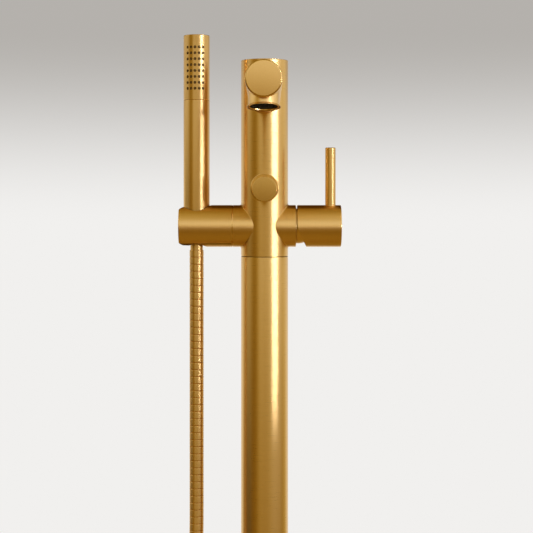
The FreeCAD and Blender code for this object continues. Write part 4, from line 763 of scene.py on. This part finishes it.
def body():
    """Upper part of the column, with the seam below it, a stub on each side and the seat of the cap."""
    outline = [
        (0, SEAM_HEIGHT),
        (COLUMN_R - SEAM_DEPTH, SEAM_HEIGHT),
        (COLUMN_R - SEAM_DEPTH, SEAM_HEIGHT + SEAM_GAP),
        (COLUMN_R, SEAM_HEIGHT + SEAM_GAP, SEAM_EDGE / 2),
        (COLUMN_R, COLUMN_TOP, SEAM_EDGE),
        (CAP_SEAT_R, COLUMN_TOP),
        (CAP_SEAT_R, CAP_FLOOR),
        (0, CAP_FLOOR),
    ]
    cuts = [
        rod(DIVERTER_BORE_R, (0, -DIVERTER_SEAT, DIVERTER_HEIGHT), COLUMN_R, "-Y"),
        rod(NUT_BORE_R, (NUT_SEAT, 0, ARM_HEIGHT), COLUMN_R, "+X"),
    ]
    rounds = [(COLUMN_R, (0, 0, 0), "+Z"), (ARM_R, (0, 0, ARM_HEIGHT), "+X")]
    stubs = [stub(1, STUB_EDGE), stub(-1, HOLDER_STUB_EDGE)]
    item = piece("body", turned(outline), "column", ["mixer_body"], cuts, stubs, rounds)
    outside = COLUMN_R + 2 * TOLERANCE
    # The seam's groove and the stub's end face in the gap to the hub take the dark gold: painted shade
    choose = [
        (PAINTED_SHADE, lambda spot: spot.z < SEAM_HEIGHT + SEAM_GAP + TOLERANCE),
        (PAINTED_SHADE, lambda spot: spot.x > STUB_REACH - TOLERANCE),
        (ARM, lambda spot: math.hypot(spot.x, spot.y) > outside),
    ]
    return paint(item, UPRIGHT, axis="+Z", edge=EDGE, choose=choose)


def top_cap():
    """Flat cap, let into the body's top."""
    outline = [(0, CAP_FLOOR), (CAP_R, CAP_FLOOR), (CAP_R, COLUMN_TOP, SEAM_EDGE), (0, COLUMN_TOP)]
    return paint(piece("cap", turned(outline), "column", ["top_cap"]), FACE, axis="+Z", edge=EDGE)


# Spout


def spout():
    """Level tube, open to the column at its root and to the outlet near its end."""
    start = COLUMN_R - SPOUT_ROOT
    outline = [
        (SPOUT_BORE_R, start),
        (SPOUT_R, start),
        (SPOUT_R, SPOUT_CAP_SEAM, SPOUT_SEAM_EDGE),
        (SPOUT_BORE_R, SPOUT_CAP_SEAM),
    ]
    mesh = turned(outline, (0, 0, SPOUT_HEIGHT), "-Y")
    waterway = [(0, 0), (WATERWAY_R, 0), (WATERWAY_R, WATERWAY_TOP), (0, WATERWAY_TOP)]
    cuts = [rod(COLUMN_R, (0, 0, 0), COLUMN_TOP, "+Z"), outlet_mesh(waterway)]
    rounds = [(SPOUT_R, (0, 0, SPOUT_HEIGHT), "+Y")]
    item = piece("spout", mesh, "column", ["spout_tube"], cuts, rounds=rounds)
    return paint(item, SPOUT, axis="+Y")


def spout_end():
    """End disc of the spout, with its plug in the tube."""
    outline = [
        (0, SPOUT_CAP_SEAM - SPOUT_PLUG),
        (SPOUT_BORE_R - PLAY, SPOUT_CAP_SEAM - SPOUT_PLUG),
        (SPOUT_BORE_R - PLAY, SPOUT_CAP_SEAM),
        (SPOUT_R, SPOUT_CAP_SEAM, SPOUT_SEAM_EDGE),
        (SPOUT_R, SPOUT_REACH, SPOUT_EDGE),
        (0, SPOUT_REACH),
    ]
    mesh = turned(outline, (0, 0, SPOUT_HEIGHT), "-Y")
    return paint(piece("spout_end", mesh, "column", ["spout_end_cap"]), SPOUT, axis="+Y", edge=EDGE)


def outlet_mesh(outline):
    """Turned mesh on the leaning outlet's axis, measured upwards from its lower face."""
    mesh = turned(outline)
    lean = Matrix.Rotation(-OUTLET_TILT, 4, "X")
    mesh.transform(Matrix.Translation(OUTLET_PLACE * MM) @ lean)
    return mesh


def outlet_place(spot):
    """Height of a place above the outlet's lower face, and its distance from the outlet's axis."""
    outlet_axis = Matrix.Rotation(-OUTLET_TILT, 3, "X") @ AXES["+Z"]
    place = spot - OUTLET_PLACE
    rise = place.dot(outlet_axis)
    return rise, (place - rise * outlet_axis).length


def by_insert(spot):
    """Whether a spot is on the ring's inside, around the dark insert."""
    rise, radius = outlet_place(spot)
    return rise > LIP_SEAT - TOLERANCE and radius < LIP_STEP_R - PLAY


def on_painted_shade_line(spot):
    """Whether a spot is on the narrow line inside the ring's mouth that is painted dark as shade."""
    rise, radius = outlet_place(spot)
    return rise < LIP_LINE and LIP_LINE_R < radius < LIP_MOUTH_R


def outlet_neck():
    """Short collar under the spout."""
    outline = [
        (COLLAR_BORE_R, LIP_THICKNESS),
        (COLLAR_R, LIP_THICKNESS, LIP_EDGE),
        (COLLAR_R, COLLAR_TOP),
        (WATERWAY_R, COLLAR_TOP),
        (WATERWAY_R, COLLAR_SHELF),
        (COLLAR_BORE_R, COLLAR_SHELF),
    ]
    cut = rod(SPOUT_R, (0, 0, SPOUT_HEIGHT), SPOUT_REACH, "-Y")
    return paint(piece("outlet_neck", outlet_mesh(outline), "column", ["outlet_collar"], [cut]), FACE)


def outlet_ring():
    """Flared lip of the outlet, with a step inside whose wall is upright at the back."""
    slant = (LIP_SEAT - LIP_LEDGE) * math.tan(OUTLET_TILT)
    outline = [
        (LIP_MOUTH_R, 0, LIP_INNER_EDGE),
        (LIP_R, 0, LIP_EDGE),
        (LIP_R, LIP_RIM, LIP_EDGE),
        (COLLAR_R, LIP_THICKNESS),
        (COLLAR_BORE_R - PLAY, LIP_THICKNESS),
        (COLLAR_BORE_R - PLAY, SLEEVE_LENGTH),
        (LIP_BORE_R, SLEEVE_LENGTH),
        (LIP_BORE_R, LIP_SEAT),
        (LIP_STEP_R, LIP_SEAT),
        (LIP_STEP_R + slant, LIP_LEDGE),
        (LIP_LINE_R, LIP_LINE),
    ]
    item = piece("outlet_ring", outlet_mesh(outline), "column", ["aerator_ring"])
    # The narrow line in the ring's mouth takes the dark gold: painted shade
    choose = [(CAD_FINISHES["black_plastic"], by_insert), (PAINTED_SHADE, on_painted_shade_line)]
    return paint(item, EDGE, choose=choose)


# Diverter, lever and holder


def knob():
    """Round knob that pulls the diverter, with its screw hole below."""
    outline = [
        (KNOB_BORE_R, KNOB_BACK),
        (KNOB_R, KNOB_BACK, KNOB_EDGE),
        (KNOB_R, KNOB_FRONT, KNOB_EDGE),
        (0, KNOB_FRONT),
        (0, KNOB_BORE_END),
        (KNOB_BORE_R, KNOB_BORE_END),
    ]
    mesh = turned(outline, (0, 0, DIVERTER_HEIGHT), "-Y")
    cut = rod(KNOB_SCREW_R, (0, -KNOB_SCREW_REACH, DIVERTER_HEIGHT), KNOB_R + OVERRUN, "-Z", SMALL_SEGMENTS)
    rounds = [(KNOB_R, (0, 0, DIVERTER_HEIGHT), "+Y")]
    item = piece("knob", mesh, "diverter", ["diverter_knob"], [cut], rounds=rounds)
    # The knob's face takes the darker copy of the gold: painted shade
    return paint(item, KNOB, KNOB_FACE, axis="+Y", edge=EDGE)


def spring():
    """Return spring of the diverter, drawn at rest; the real one shortens towards the bush as the knob is
    pulled, but this mesh keeps its shape.
    """
    loops = []
    steps = SPRING_TURNS * SPRING_STEPS
    length = SPRING_SEAT - SPRING_BACK - 2 * SPRING_WIRE_R
    for step in range(steps + 1):
        turn = 2 * math.pi * step / SPRING_STEPS
        out = Vector((math.cos(turn), 0, math.sin(turn)))
        reach = SPRING_BACK + SPRING_WIRE_R + length * step / steps
        centre = out * SPRING_R + Vector((0, -reach, DIVERTER_HEIGHT))
        loops.append(circle(centre * MM, out, AXES["-Y"], SPRING_WIRE_R * MM, SPRING_SIDES))
    item = to_object("spring", skin(loops))
    item.data.shade_smooth()
    item.data.materials.append(CAD_FINISHES["steel"])
    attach(item, "column")
    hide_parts("diverter_spring")
    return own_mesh(item)


def hub():
    """Lever hub, hollow over the cartridge and cut away at its lower inner edge."""
    outline = [
        (HUB_CAVITY_R, HUB_START),
        (ARM_R, HUB_START, STUB_EDGE),
        (ARM_R, HUB_END, ARM_EDGE),
        (0, HUB_END),
        (0, HUB_BOSS_START),
        (HUB_BOSS_R, HUB_BOSS_START),
        (HUB_BOSS_R, HUB_CAVITY_END),
        (HUB_CAVITY_R, HUB_CAVITY_END),
    ]
    mesh = turned(outline, (0, 0, ARM_HEIGHT), "+X")
    deep = ARM_R + OVERRUN
    reach = HUB_NOTCH_DEPTH * (deep - HUB_NOTCH_START) / (ARM_R - HUB_NOTCH_START)
    wedge = [
        (HUB_START - OVERRUN, ARM_HEIGHT - HUB_NOTCH_START),
        (HUB_START - OVERRUN, ARM_HEIGHT - deep),
        (HUB_START + reach, ARM_HEIGHT - deep),
        (HUB_START, ARM_HEIGHT - HUB_NOTCH_START),
    ]
    square = [
        (HUB_BOSS_START - OVERRUN, -HUB_SQUARE_HALF),
        (HUB_BOSS_START - OVERRUN, HUB_SQUARE_HALF),
        (HUB_SQUARE_END, HUB_SQUARE_HALF),
        (HUB_SQUARE_END, -HUB_SQUARE_HALF),
    ]
    cuts = [
        prism(wedge, -deep, deep, "XZ"),
        rod(LEVER_R + LEVER_PLAY, (LEVER_REACH, 0, LEVER_FOOT), ARM_R, "+Z", SMALL_SEGMENTS),
        rod(HUB_GRUB_R, (HUB_GRUB_REACH, HUB_BOSS_R, ARM_HEIGHT), ARM_R, "+Y", SMALL_SEGMENTS),
        prism(square, ARM_HEIGHT - HUB_SQUARE_HALF, ARM_HEIGHT + HUB_SQUARE_HALF),
    ]
    rounds = [(ARM_R, (0, 0, ARM_HEIGHT), "+X")]
    item = piece("hub", mesh, "lever", ["lever_hub"], cuts, rounds=rounds)
    # The hub's face in the gap to the stub takes the dark gold: painted shade
    gap_painted_shade = (PAINTED_SHADE, lambda spot: spot.x < HUB_START + TOLERANCE)
    return paint(item, ARM, axis="+X", edge=EDGE, choose=[gap_painted_shade])


def lever():
    """Thin rod that stands in the hub on its pin."""
    outline = [
        (0, LEVER_FOOT - LEVER_PIN),
        (LEVER_PIN_R, LEVER_FOOT - LEVER_PIN),
        (LEVER_PIN_R, LEVER_FOOT),
        (LEVER_R, LEVER_FOOT),
        (LEVER_R, LEVER_TOP, LEVER_EDGE),
        (0, LEVER_TOP),
    ]
    mesh = turned(outline, (LEVER_REACH, 0, 0))
    return paint(piece("lever", mesh, "lever", ["lever_rod"]), LEVER, axis="+Z", edge=EDGE)


def holder():
    """Left end of the arm, with the handset's socket and the slot that lets the hose in."""
    outline = [
        (0, STUB_REACH),
        (ARM_R - HOLDER_BEVEL_DEPTH, STUB_REACH),
        (ARM_R, STUB_REACH + HOLDER_BEVEL),
        (ARM_R, HOLDER_END, ARM_EDGE),
        (0, HOLDER_END),
    ]
    mesh = turned(outline, (0, 0, ARM_HEIGHT), "-X")
    top = ARM_HEIGHT + ARM_R
    below = ARM_HEIGHT - ARM_R - OVERRUN
    socket = [
        (0, below),
        (SOCKET_OUTLET_R, below),
        (SOCKET_OUTLET_R, SOCKET_OUTLET),
        (SOCKET_R, SOCKET_SHOULDER),
        (SOCKET_R, top - SOCKET_MOUTH),
        (SOCKET_R + SOCKET_MOUTH + OVERRUN, top + OVERRUN),
        (0, top + OVERRUN),
    ]
    slot = [
        (-HANDSET_REACH, SLOT_HALF),
        (-SLOT_NECK, SLOT_NECK_HALF),
        (-HOLDER_END, SLOT_MOUTH_HALF),
        (-HOLDER_END - OVERRUN, SLOT_MOUTH_HALF),
        (-HOLDER_END - OVERRUN, -SLOT_MOUTH_HALF),
        (-HOLDER_END, -SLOT_MOUTH_HALF),
        (-SLOT_NECK, -SLOT_NECK_HALF),
        (-HANDSET_REACH, -SLOT_HALF),
    ]
    cuts = [
        turned(socket, (-HANDSET_REACH, 0, 0)),
        prism(slot, below, top + OVERRUN),
    ]
    rounds = [(ARM_R, (0, 0, ARM_HEIGHT), "+X"), (SOCKET_R, (-HANDSET_REACH, 0, 0), "+Z")]
    item = piece("holder", mesh, "column", ["holder_arm"], cuts, rounds=rounds)
    # The socket's wall takes the dark gold: painted shade in the gap round the handset
    socket_painted_shade = (PAINTED_SHADE, lambda spot: math.hypot(spot.x + HANDSET_REACH, spot.y) < SOCKET_R + TOLERANCE)
    return paint(item, ARM, axis="+X", edge=EDGE, choose=[socket_painted_shade])


# Handset


def handset_handle():
    """Lower tube of the handset, up to its seam."""
    outline = [
        (HANDSET_BORE_R, HANDSET_FOOT),
        (HANDSET_R, HANDSET_FOOT, SEAM_EDGE),
        (HANDSET_R, HANDSET_SEAM, SEAM_EDGE),
        (HANDSET_BORE_R, HANDSET_SEAM),
    ]
    mesh = turned(outline, (-HANDSET_REACH, 0, 0))
    return paint(piece("handle", mesh, "handset", ["handset_handle"]), HANDSET, axis="+Z", edge=EDGE)


def nozzle_holes():
    """Rods in rows and columns, which cut the holes for the nozzles."""
    holes = []
    for row in range(NOZZLE_ROWS):
        for column in range(NOZZLE_COLUMNS):
            angle = math.radians(NOZZLE_CENTRE + (column - (NOZZLE_COLUMNS - 1) / 2) * NOZZLE_STEP)
            way = Vector((math.cos(angle), math.sin(angle), 0))
            hole = rod(NOZZLE_R, (0, 0, 0), HANDSET_R, "+Z", NOZZLE_SEGMENTS)
            hole.transform(AXES["+Z"].rotation_difference(way).to_matrix().to_4x4())
            middle = Vector((-HANDSET_REACH, 0, NOZZLE_FIRST - NOZZLE_PITCH * row))
            start = way * (HEAD_BORE_R - OVERRUN) + middle
            hole.transform(Matrix.Translation(start * MM))
            holes.append(hole)
    return merged(holes)


def handset_head():
    """Perforated head of the handset, with its spigot in the handle."""
    outline = [
        (SPIGOT_BORE_R, HANDSET_SEAM - SPIGOT_LENGTH),
        (SPIGOT_R, HANDSET_SEAM - SPIGOT_LENGTH),
        (SPIGOT_R, HANDSET_SEAM),
        (HANDSET_R, HANDSET_SEAM, SEAM_EDGE),
        (HANDSET_R, HANDSET_TOP, HEAD_EDGE),
        (0, HANDSET_TOP),
        (0, HEAD_ROOF),
        (HEAD_BORE_R, HEAD_ROOF),
        (HEAD_BORE_R, HANDSET_SEAM + HEAD_FLOOR),
        (SPIGOT_BORE_R, HANDSET_SEAM + HEAD_FLOOR),
    ]
    mesh = turned(outline, (-HANDSET_REACH, 0, 0))
    rounds = [(HANDSET_R, (-HANDSET_REACH, 0, 0), "+Z")]
    item = piece("head", mesh, "handset", ["handset_head"], [nozzle_holes()], rounds=rounds)
    return paint(item, HANDSET, axis="+Z", edge=EDGE)


# Floor cover


def cover():
    """Round cover over the floor flange."""
    outline = [
        (COVER_R - COVER_WALL, 0),
        (COVER_R, 0),
        (COVER_R, COVER_HEIGHT, COVER_EDGE),
        (COVER_BORE_R, COVER_HEIGHT, COVER_BORE_EDGE),
        (COVER_BORE_R, COVER_HEIGHT - COVER_COLLAR),
        (COVER_COLLAR_R, COVER_HEIGHT - COVER_COLLAR),
        (COVER_COLLAR_R, COVER_HEIGHT - COVER_WALL),
        (COVER_R - COVER_WALL, COVER_HEIGHT - COVER_WALL),
    ]
    return paint(piece("cover", turned(outline), "column", ["base_cover"]), UPRIGHT, axis="+Z")


# Hose


def hose_points():
    """The route's points in metres."""
    start = Vector((-HANDSET_REACH, 0, 0))
    way = (Vector((0, HOSE_OUTLET_REACH, 0)) - start).normalized()
    return [(start + way * along + Vector((0, 0, height))) * MM for along, height in HOSE_ROUTE]


def spline_points(points):
    """Points read from the smooth spline that has the route's points as its control points."""
    curve = bpy.data.curves.new("hose_line", "CURVE")
    curve.dimensions = "3D"
    curve.resolution_u = HOSE_RESOLUTION
    spline = curve.splines.new("NURBS")
    spline.points.add(len(points) - 1)
    for target, point in zip(spline.points, points):
        target.co = (*point, 1.0)
    spline.order_u = 3
    spline.use_endpoint_u = True
    carrier = bpy.data.objects.new("hose_line", curve)
    bpy.context.scene.collection.objects.link(carrier)
    bpy.context.view_layer.update()
    mesh = bpy.data.meshes.new_from_object(carrier)
    line = [vertex.co.copy() for vertex in mesh.vertices]
    bpy.data.objects.remove(carrier)
    bpy.data.curves.remove(curve)
    bpy.data.meshes.remove(mesh)
    return line


def hose_rings(total):
    """Distances along the hose, in metres, and radii there, in millimetres: plain ends with ribs between."""
    start = HOSE_PLAIN_END * MM
    ribs = round((total - 2 * start) / (HOSE_RIB_PITCH * MM))
    pitch = (total - 2 * start) / ribs
    rings = [(0.0, HOSE_GROOVE_R)]
    for rib in range(ribs):
        for place, share in HOSE_RIB:
            radius = HOSE_GROOVE_R + (HOSE_R - HOSE_GROOVE_R) * share
            rings.append((start + (rib + place) * pitch, radius))
    return rings + [(total - start, HOSE_GROOVE_R), (total, HOSE_GROOVE_R)]


def hose():
    """Ribbed hose along its route, from the handset's axis at one end to the column at the other."""
    points = hose_points()
    line = spline_points(points)
    lengths = [0.0]
    for first, second in zip(line, line[1:]):
        lengths.append(lengths[-1] + (second - first).length)
    across = (points[-1] - points[0]).normalized()
    side = AXES["+Z"].cross(across)
    loops = []
    index = 0
    for distance, radius in hose_rings(lengths[-1]):
        while index < len(line) - 2 and lengths[index + 1] < distance:
            index += 1
        step = line[index + 1] - line[index]
        spot = line[index] + step * ((distance - lengths[index]) / step.length)
        loops.append(circle(spot, side, side.cross(step.normalized()), radius * MM, HOSE_SEGMENTS))
    item = to_object("hose_tube", skin(loops))
    item.data.shade_smooth()
    item.data.set_sharp_from_angle(angle=HOSE_SMOOTH_ANGLE)
    item.data.materials.append(HOSE_METAL)
    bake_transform(item)
    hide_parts("hose")
    return item


# Floor, with its sizes in metres, the tone that the camera sees and the warmer one that the metal mirrors
FLOOR_R = 1.8
FLOOR_SEGMENTS = 96
FLOOR_FADE = (0.5, 1.75)
FLOOR_TONE = (0.82, 0.81, 0.80, 1.0)
FLOOR_MIRRORED = (0.60, 0.42, 0.08, 1.0)
FLOOR_GLOW = (0.34, 0.38, 0.50, 1.0)
FLOOR_ROUGHNESS = 0.8


def floor():
    """Pale floor that fades out into the background."""
    mesh = bmesh.new()
    bmesh.ops.create_circle(mesh, cap_ends=True, segments=FLOOR_SEGMENTS, radius=FLOOR_R)
    item = to_object("floor", mesh)
    material, tree, shader = node_material("floor")
    seen = tree.nodes.new("ShaderNodeLightPath").outputs["Is Camera Ray"]
    tree.links.new(mixed(tree, seen, FLOOR_MIRRORED, FLOOR_TONE), shader.inputs["Base Color"])
    tree.links.new(seen, shader.inputs["Emission Strength"])
    shader.inputs["Emission Color"].default_value = FLOOR_GLOW
    shader.inputs["Roughness"].default_value = FLOOR_ROUGHNESS
    length = tree.nodes.new("ShaderNodeVectorMath")
    length.operation = "LENGTH"
    tree.links.new(object_place(tree), length.inputs[0])
    clear = tree.nodes.new("ShaderNodeBsdfTransparent")
    mix = tree.nodes.new("ShaderNodeMixShader")
    tree.links.new(ramp(tree, length.outputs["Value"], FLOOR_FADE), mix.inputs["Fac"])
    tree.links.new(shader.outputs["BSDF"], mix.inputs[1])
    tree.links.new(clear.outputs["BSDF"], mix.inputs[2])
    tree.links.new(mix.outputs["Shader"], tree.nodes["Material Output"].inputs["Surface"])
    item.data.materials.append(material)


# World: brightness of the room by height in degrees, in front of the object and behind it
QUARTER_TURN = 90
HALF_TURN = 180
ROOM_HEIGHT = (
    (-90, 0.45), (-59, 0.58), (-35, 0.88), (-12, 1.12), (0, 1.10), (4, 1.25), (8, 2.20), (20, 2.25),
    (43, 1.55), (68, 1.05), (90, 0.60),
)
BACK_HEIGHT = (
    (-90, 0.22), (-57, 0.32), (-25, 0.35), (-12, 0.65), (-2, 0.95), (4, 0.95), (8, 0.75), (14, 0.30),
    (25, 0.12), (41, 0.05), (70, 0.12), (90, 0.30),
)
# Brightness round the object above and below the horizon, in degrees to the right of the camera
ROOM_HIGH = (
    (-180, 0.86), (-152, 0.86), (-106, 0.54), (-78, 0.44), (-56, 0.21), (-42, 0.21), (-23, 0.48), (0, 0.44),
    (15, 0.46), (30, 0.70), (48, 1.00), (64, 1.00), (80, 0.95), (92, 0.62), (131, 0.86), (180, 0.86),
)
ROOM_LOW = (
    (-180, 0.80), (-152, 0.60), (-106, 0.06), (-78, 0.01), (-54, 0.18), (-23, 0.31), (0, 0.29), (60, 0.29),
    (95, 0.28), (131, 0.60), (180, 0.80),
)
# Heights in degrees over which the low part turns into the high part, and the high part into an even top
HORIZON = (-6, -1)
OVERHEAD = (40, 72)
OVERHEAD_LEVEL = (0.5, 0.5, 0.5, 1.0)
# Share of height in the direction that parts front from back, and where the one turns into the other
BACK_TILT = 0.3
BACK_EDGE = (0.35, 0.8)
# The room's brightest level and its white, and the power of each channel, which makes dim places amber
ROOM_MOST = 1.0
ROOM_WHITE = 0.9
ROOM_WARMTH = (1.0, 1.4, 3.4)
# Backdrop: its tones, the height over which they change, and in degrees where it ends for the metal
BACKDROP_LOW = (0.88, 0.87, 0.855, 1.0)
BACKDROP_HIGH = (0.46, 0.44, 0.415, 1.0)
BACKDROP_RISE = (-0.02, 0.13)
BACKDROP_TOP = (9, 14)


def radians(span):
    """A span of degrees in radians."""
    return [math.radians(angle) for angle in span]


def levels(tree, angle, reach, stops):
    """Brightness by an angle that runs from minus to plus its reach, in degrees."""
    item = tree.nodes.new("ShaderNodeValToRGB")
    while len(item.color_ramp.elements) < len(stops):
        item.color_ramp.elements.new(0.5)
    for element, (place, level) in zip(item.color_ramp.elements, stops):
        element.position = (place + reach) / (2 * reach)
        element.color = (level, level, level, 1.0)
    tree.links.new(ramp(tree, angle, radians((-reach, reach)), kind="LINEAR"), item.inputs["Fac"])
    return item.outputs["Color"]


def warmed(tree, level):
    """Colour of the room at a brightness: near white where it is bright, amber where it is dim."""
    colour = tree.nodes.new("ShaderNodeCombineColor")
    for channel, power in zip(("Red", "Green", "Blue"), ROOM_WARMTH):
        part = number(tree, "MULTIPLY", number(tree, "POWER", level, power), ROOM_WHITE)
        tree.links.new(part, colour.inputs[channel])
    return colour.outputs["Color"]


def world():
    """Pale backdrop for the camera and the metal, and a soft room round the object for its reflections."""
    setting = bpy.data.worlds.new("studio")
    bpy.context.scene.world = setting
    setting.use_nodes = True
    tree = setting.node_tree
    way = tree.nodes.new("ShaderNodeSeparateXYZ")
    tree.links.new(tree.nodes.new("ShaderNodeTexCoord").outputs["Generated"], way.inputs["Vector"])
    right, away, up = (way.outputs[axis] for axis in "XYZ")
    rise = number(tree, "ARCSINE", up)
    around = number(tree, "ARCTAN2", right, number(tree, "MULTIPLY", away, -1))
    low = levels(tree, around, HALF_TURN, ROOM_LOW)
    high = levels(tree, around, HALF_TURN, ROOM_HIGH)
    sides = mixed(tree, ramp(tree, rise, radians(HORIZON)), low, high)
    sides = mixed(tree, ramp(tree, rise, radians(OVERHEAD)), sides, OVERHEAD_LEVEL)
    front = number(tree, "MULTIPLY", sides, levels(tree, rise, QUARTER_TURN, ROOM_HEIGHT))
    behind = ramp(tree, number(tree, "ADD", away, number(tree, "MULTIPLY", up, BACK_TILT)), BACK_EDGE)
    level = mixed(tree, behind, front, levels(tree, rise, QUARTER_TURN, BACK_HEIGHT))
    room = warmed(tree, number(tree, "MINIMUM", level, ROOM_MOST))
    backdrop = mixed(tree, ramp(tree, up, BACKDROP_RISE), BACKDROP_LOW, BACKDROP_HIGH)
    path = tree.nodes.new("ShaderNodeLightPath").outputs
    passed_on = number(tree, "MAXIMUM", path["Is Glossy Ray"], path["Is Transmission Ray"])
    below_top = ramp(tree, rise, radians(BACKDROP_TOP), (1, 0))
    mirrored = number(tree, "MULTIPLY", passed_on, number(tree, "MULTIPLY", behind, below_top))
    seen = number(tree, "MAXIMUM", path["Is Camera Ray"], mirrored)
    shader = tree.nodes["Background"]
    tree.links.new(mixed(tree, seen, room, backdrop), shader.inputs["Color"])
    shader.inputs["Strength"].default_value = 1.0


# Key light: upright strips side by side, with sizes in metres, power in watts and angles in degrees
KEY_COLOUR = (0.92, 1.0, 1.4)
KEY_DISTANCE = 1.4
KEY_WIDTH = 0.5
KEY_TURNS = range(40, 65, 6)
# Lower end and power of each layer
KEY_LAYERS = ((0.665, 0.046), (0.78, 0.042))
KEY_TOP = 1.75
KEY_SPREAD = 4
KEY_HIGH_TURNS = (43, 49, 55)
KEY_HIGH_SPAN = (1.45, 1.95)
KEY_HIGH_POWER = 0.06
KEY_HIGH_SPREAD = 6
KEY_HIGH_TILT = 20


def lamp(name, azimuth, span, power, spread, tilt=0):
    """Upright soft box that faces the column; azimuth runs to the right of the camera."""
    low, high = span
    data = bpy.data.lights.new(name, "AREA")
    data.shape = "RECTANGLE"
    data.size = KEY_WIDTH
    data.size_y = high - low
    data.energy = power
    data.color = KEY_COLOUR
    data.spread = math.radians(spread)
    item = bpy.data.objects.new(name, data)
    bpy.context.scene.collection.objects.link(item)
    angle = math.radians(azimuth)
    item.location = (KEY_DISTANCE * math.sin(angle), -KEY_DISTANCE * math.cos(angle), (low + high) / 2)
    item.rotation_euler = (math.pi / 2 - math.radians(tilt), 0, angle)


def key_light():
    """Two layers of level strips, and a row of high ones that lean down."""
    for layer, (low, power) in enumerate(KEY_LAYERS):
        for turn in KEY_TURNS:
            lamp("key_%d_%d" % (layer, turn), turn, (low, KEY_TOP), power, KEY_SPREAD)
    for turn in KEY_HIGH_TURNS:
        lamp("key_high_%d" % turn, turn, KEY_HIGH_SPAN, KEY_HIGH_POWER, KEY_HIGH_SPREAD, KEY_HIGH_TILT)


# Camera: sensor and lens in millimetres, shift as a share of the picture, place in metres
SENSOR = 36.0
LENS = 87.8
SHIFT_X = -0.0042
SHIFT_Y = -0.125
CAMERA_PLACE = (0.004, -1.244, 0.867)


def camera():
    """Level camera in front of the spout."""
    data = bpy.data.cameras.new("camera")
    data.sensor_width = SENSOR
    data.lens = LENS
    data.shift_x = SHIFT_X
    data.shift_y = SHIFT_Y
    item = bpy.data.objects.new("camera", data)
    item.location = CAMERA_PLACE
    item.rotation_euler = (math.pi / 2, 0, 0)
    bpy.context.scene.collection.objects.link(item)
    bpy.context.scene.camera = item


camera()
paint_cad_nodes()
hose()
riser()
body()
boss()
top_cap()
spout()
spout_end()
outlet_neck()
outlet_ring()
knob()
spring()
hub()
lever()
holder()
handset_handle()
handset_head()
cover()
floor()
world()
key_light()
bpy.context.scene.view_settings.view_transform = "Standard"
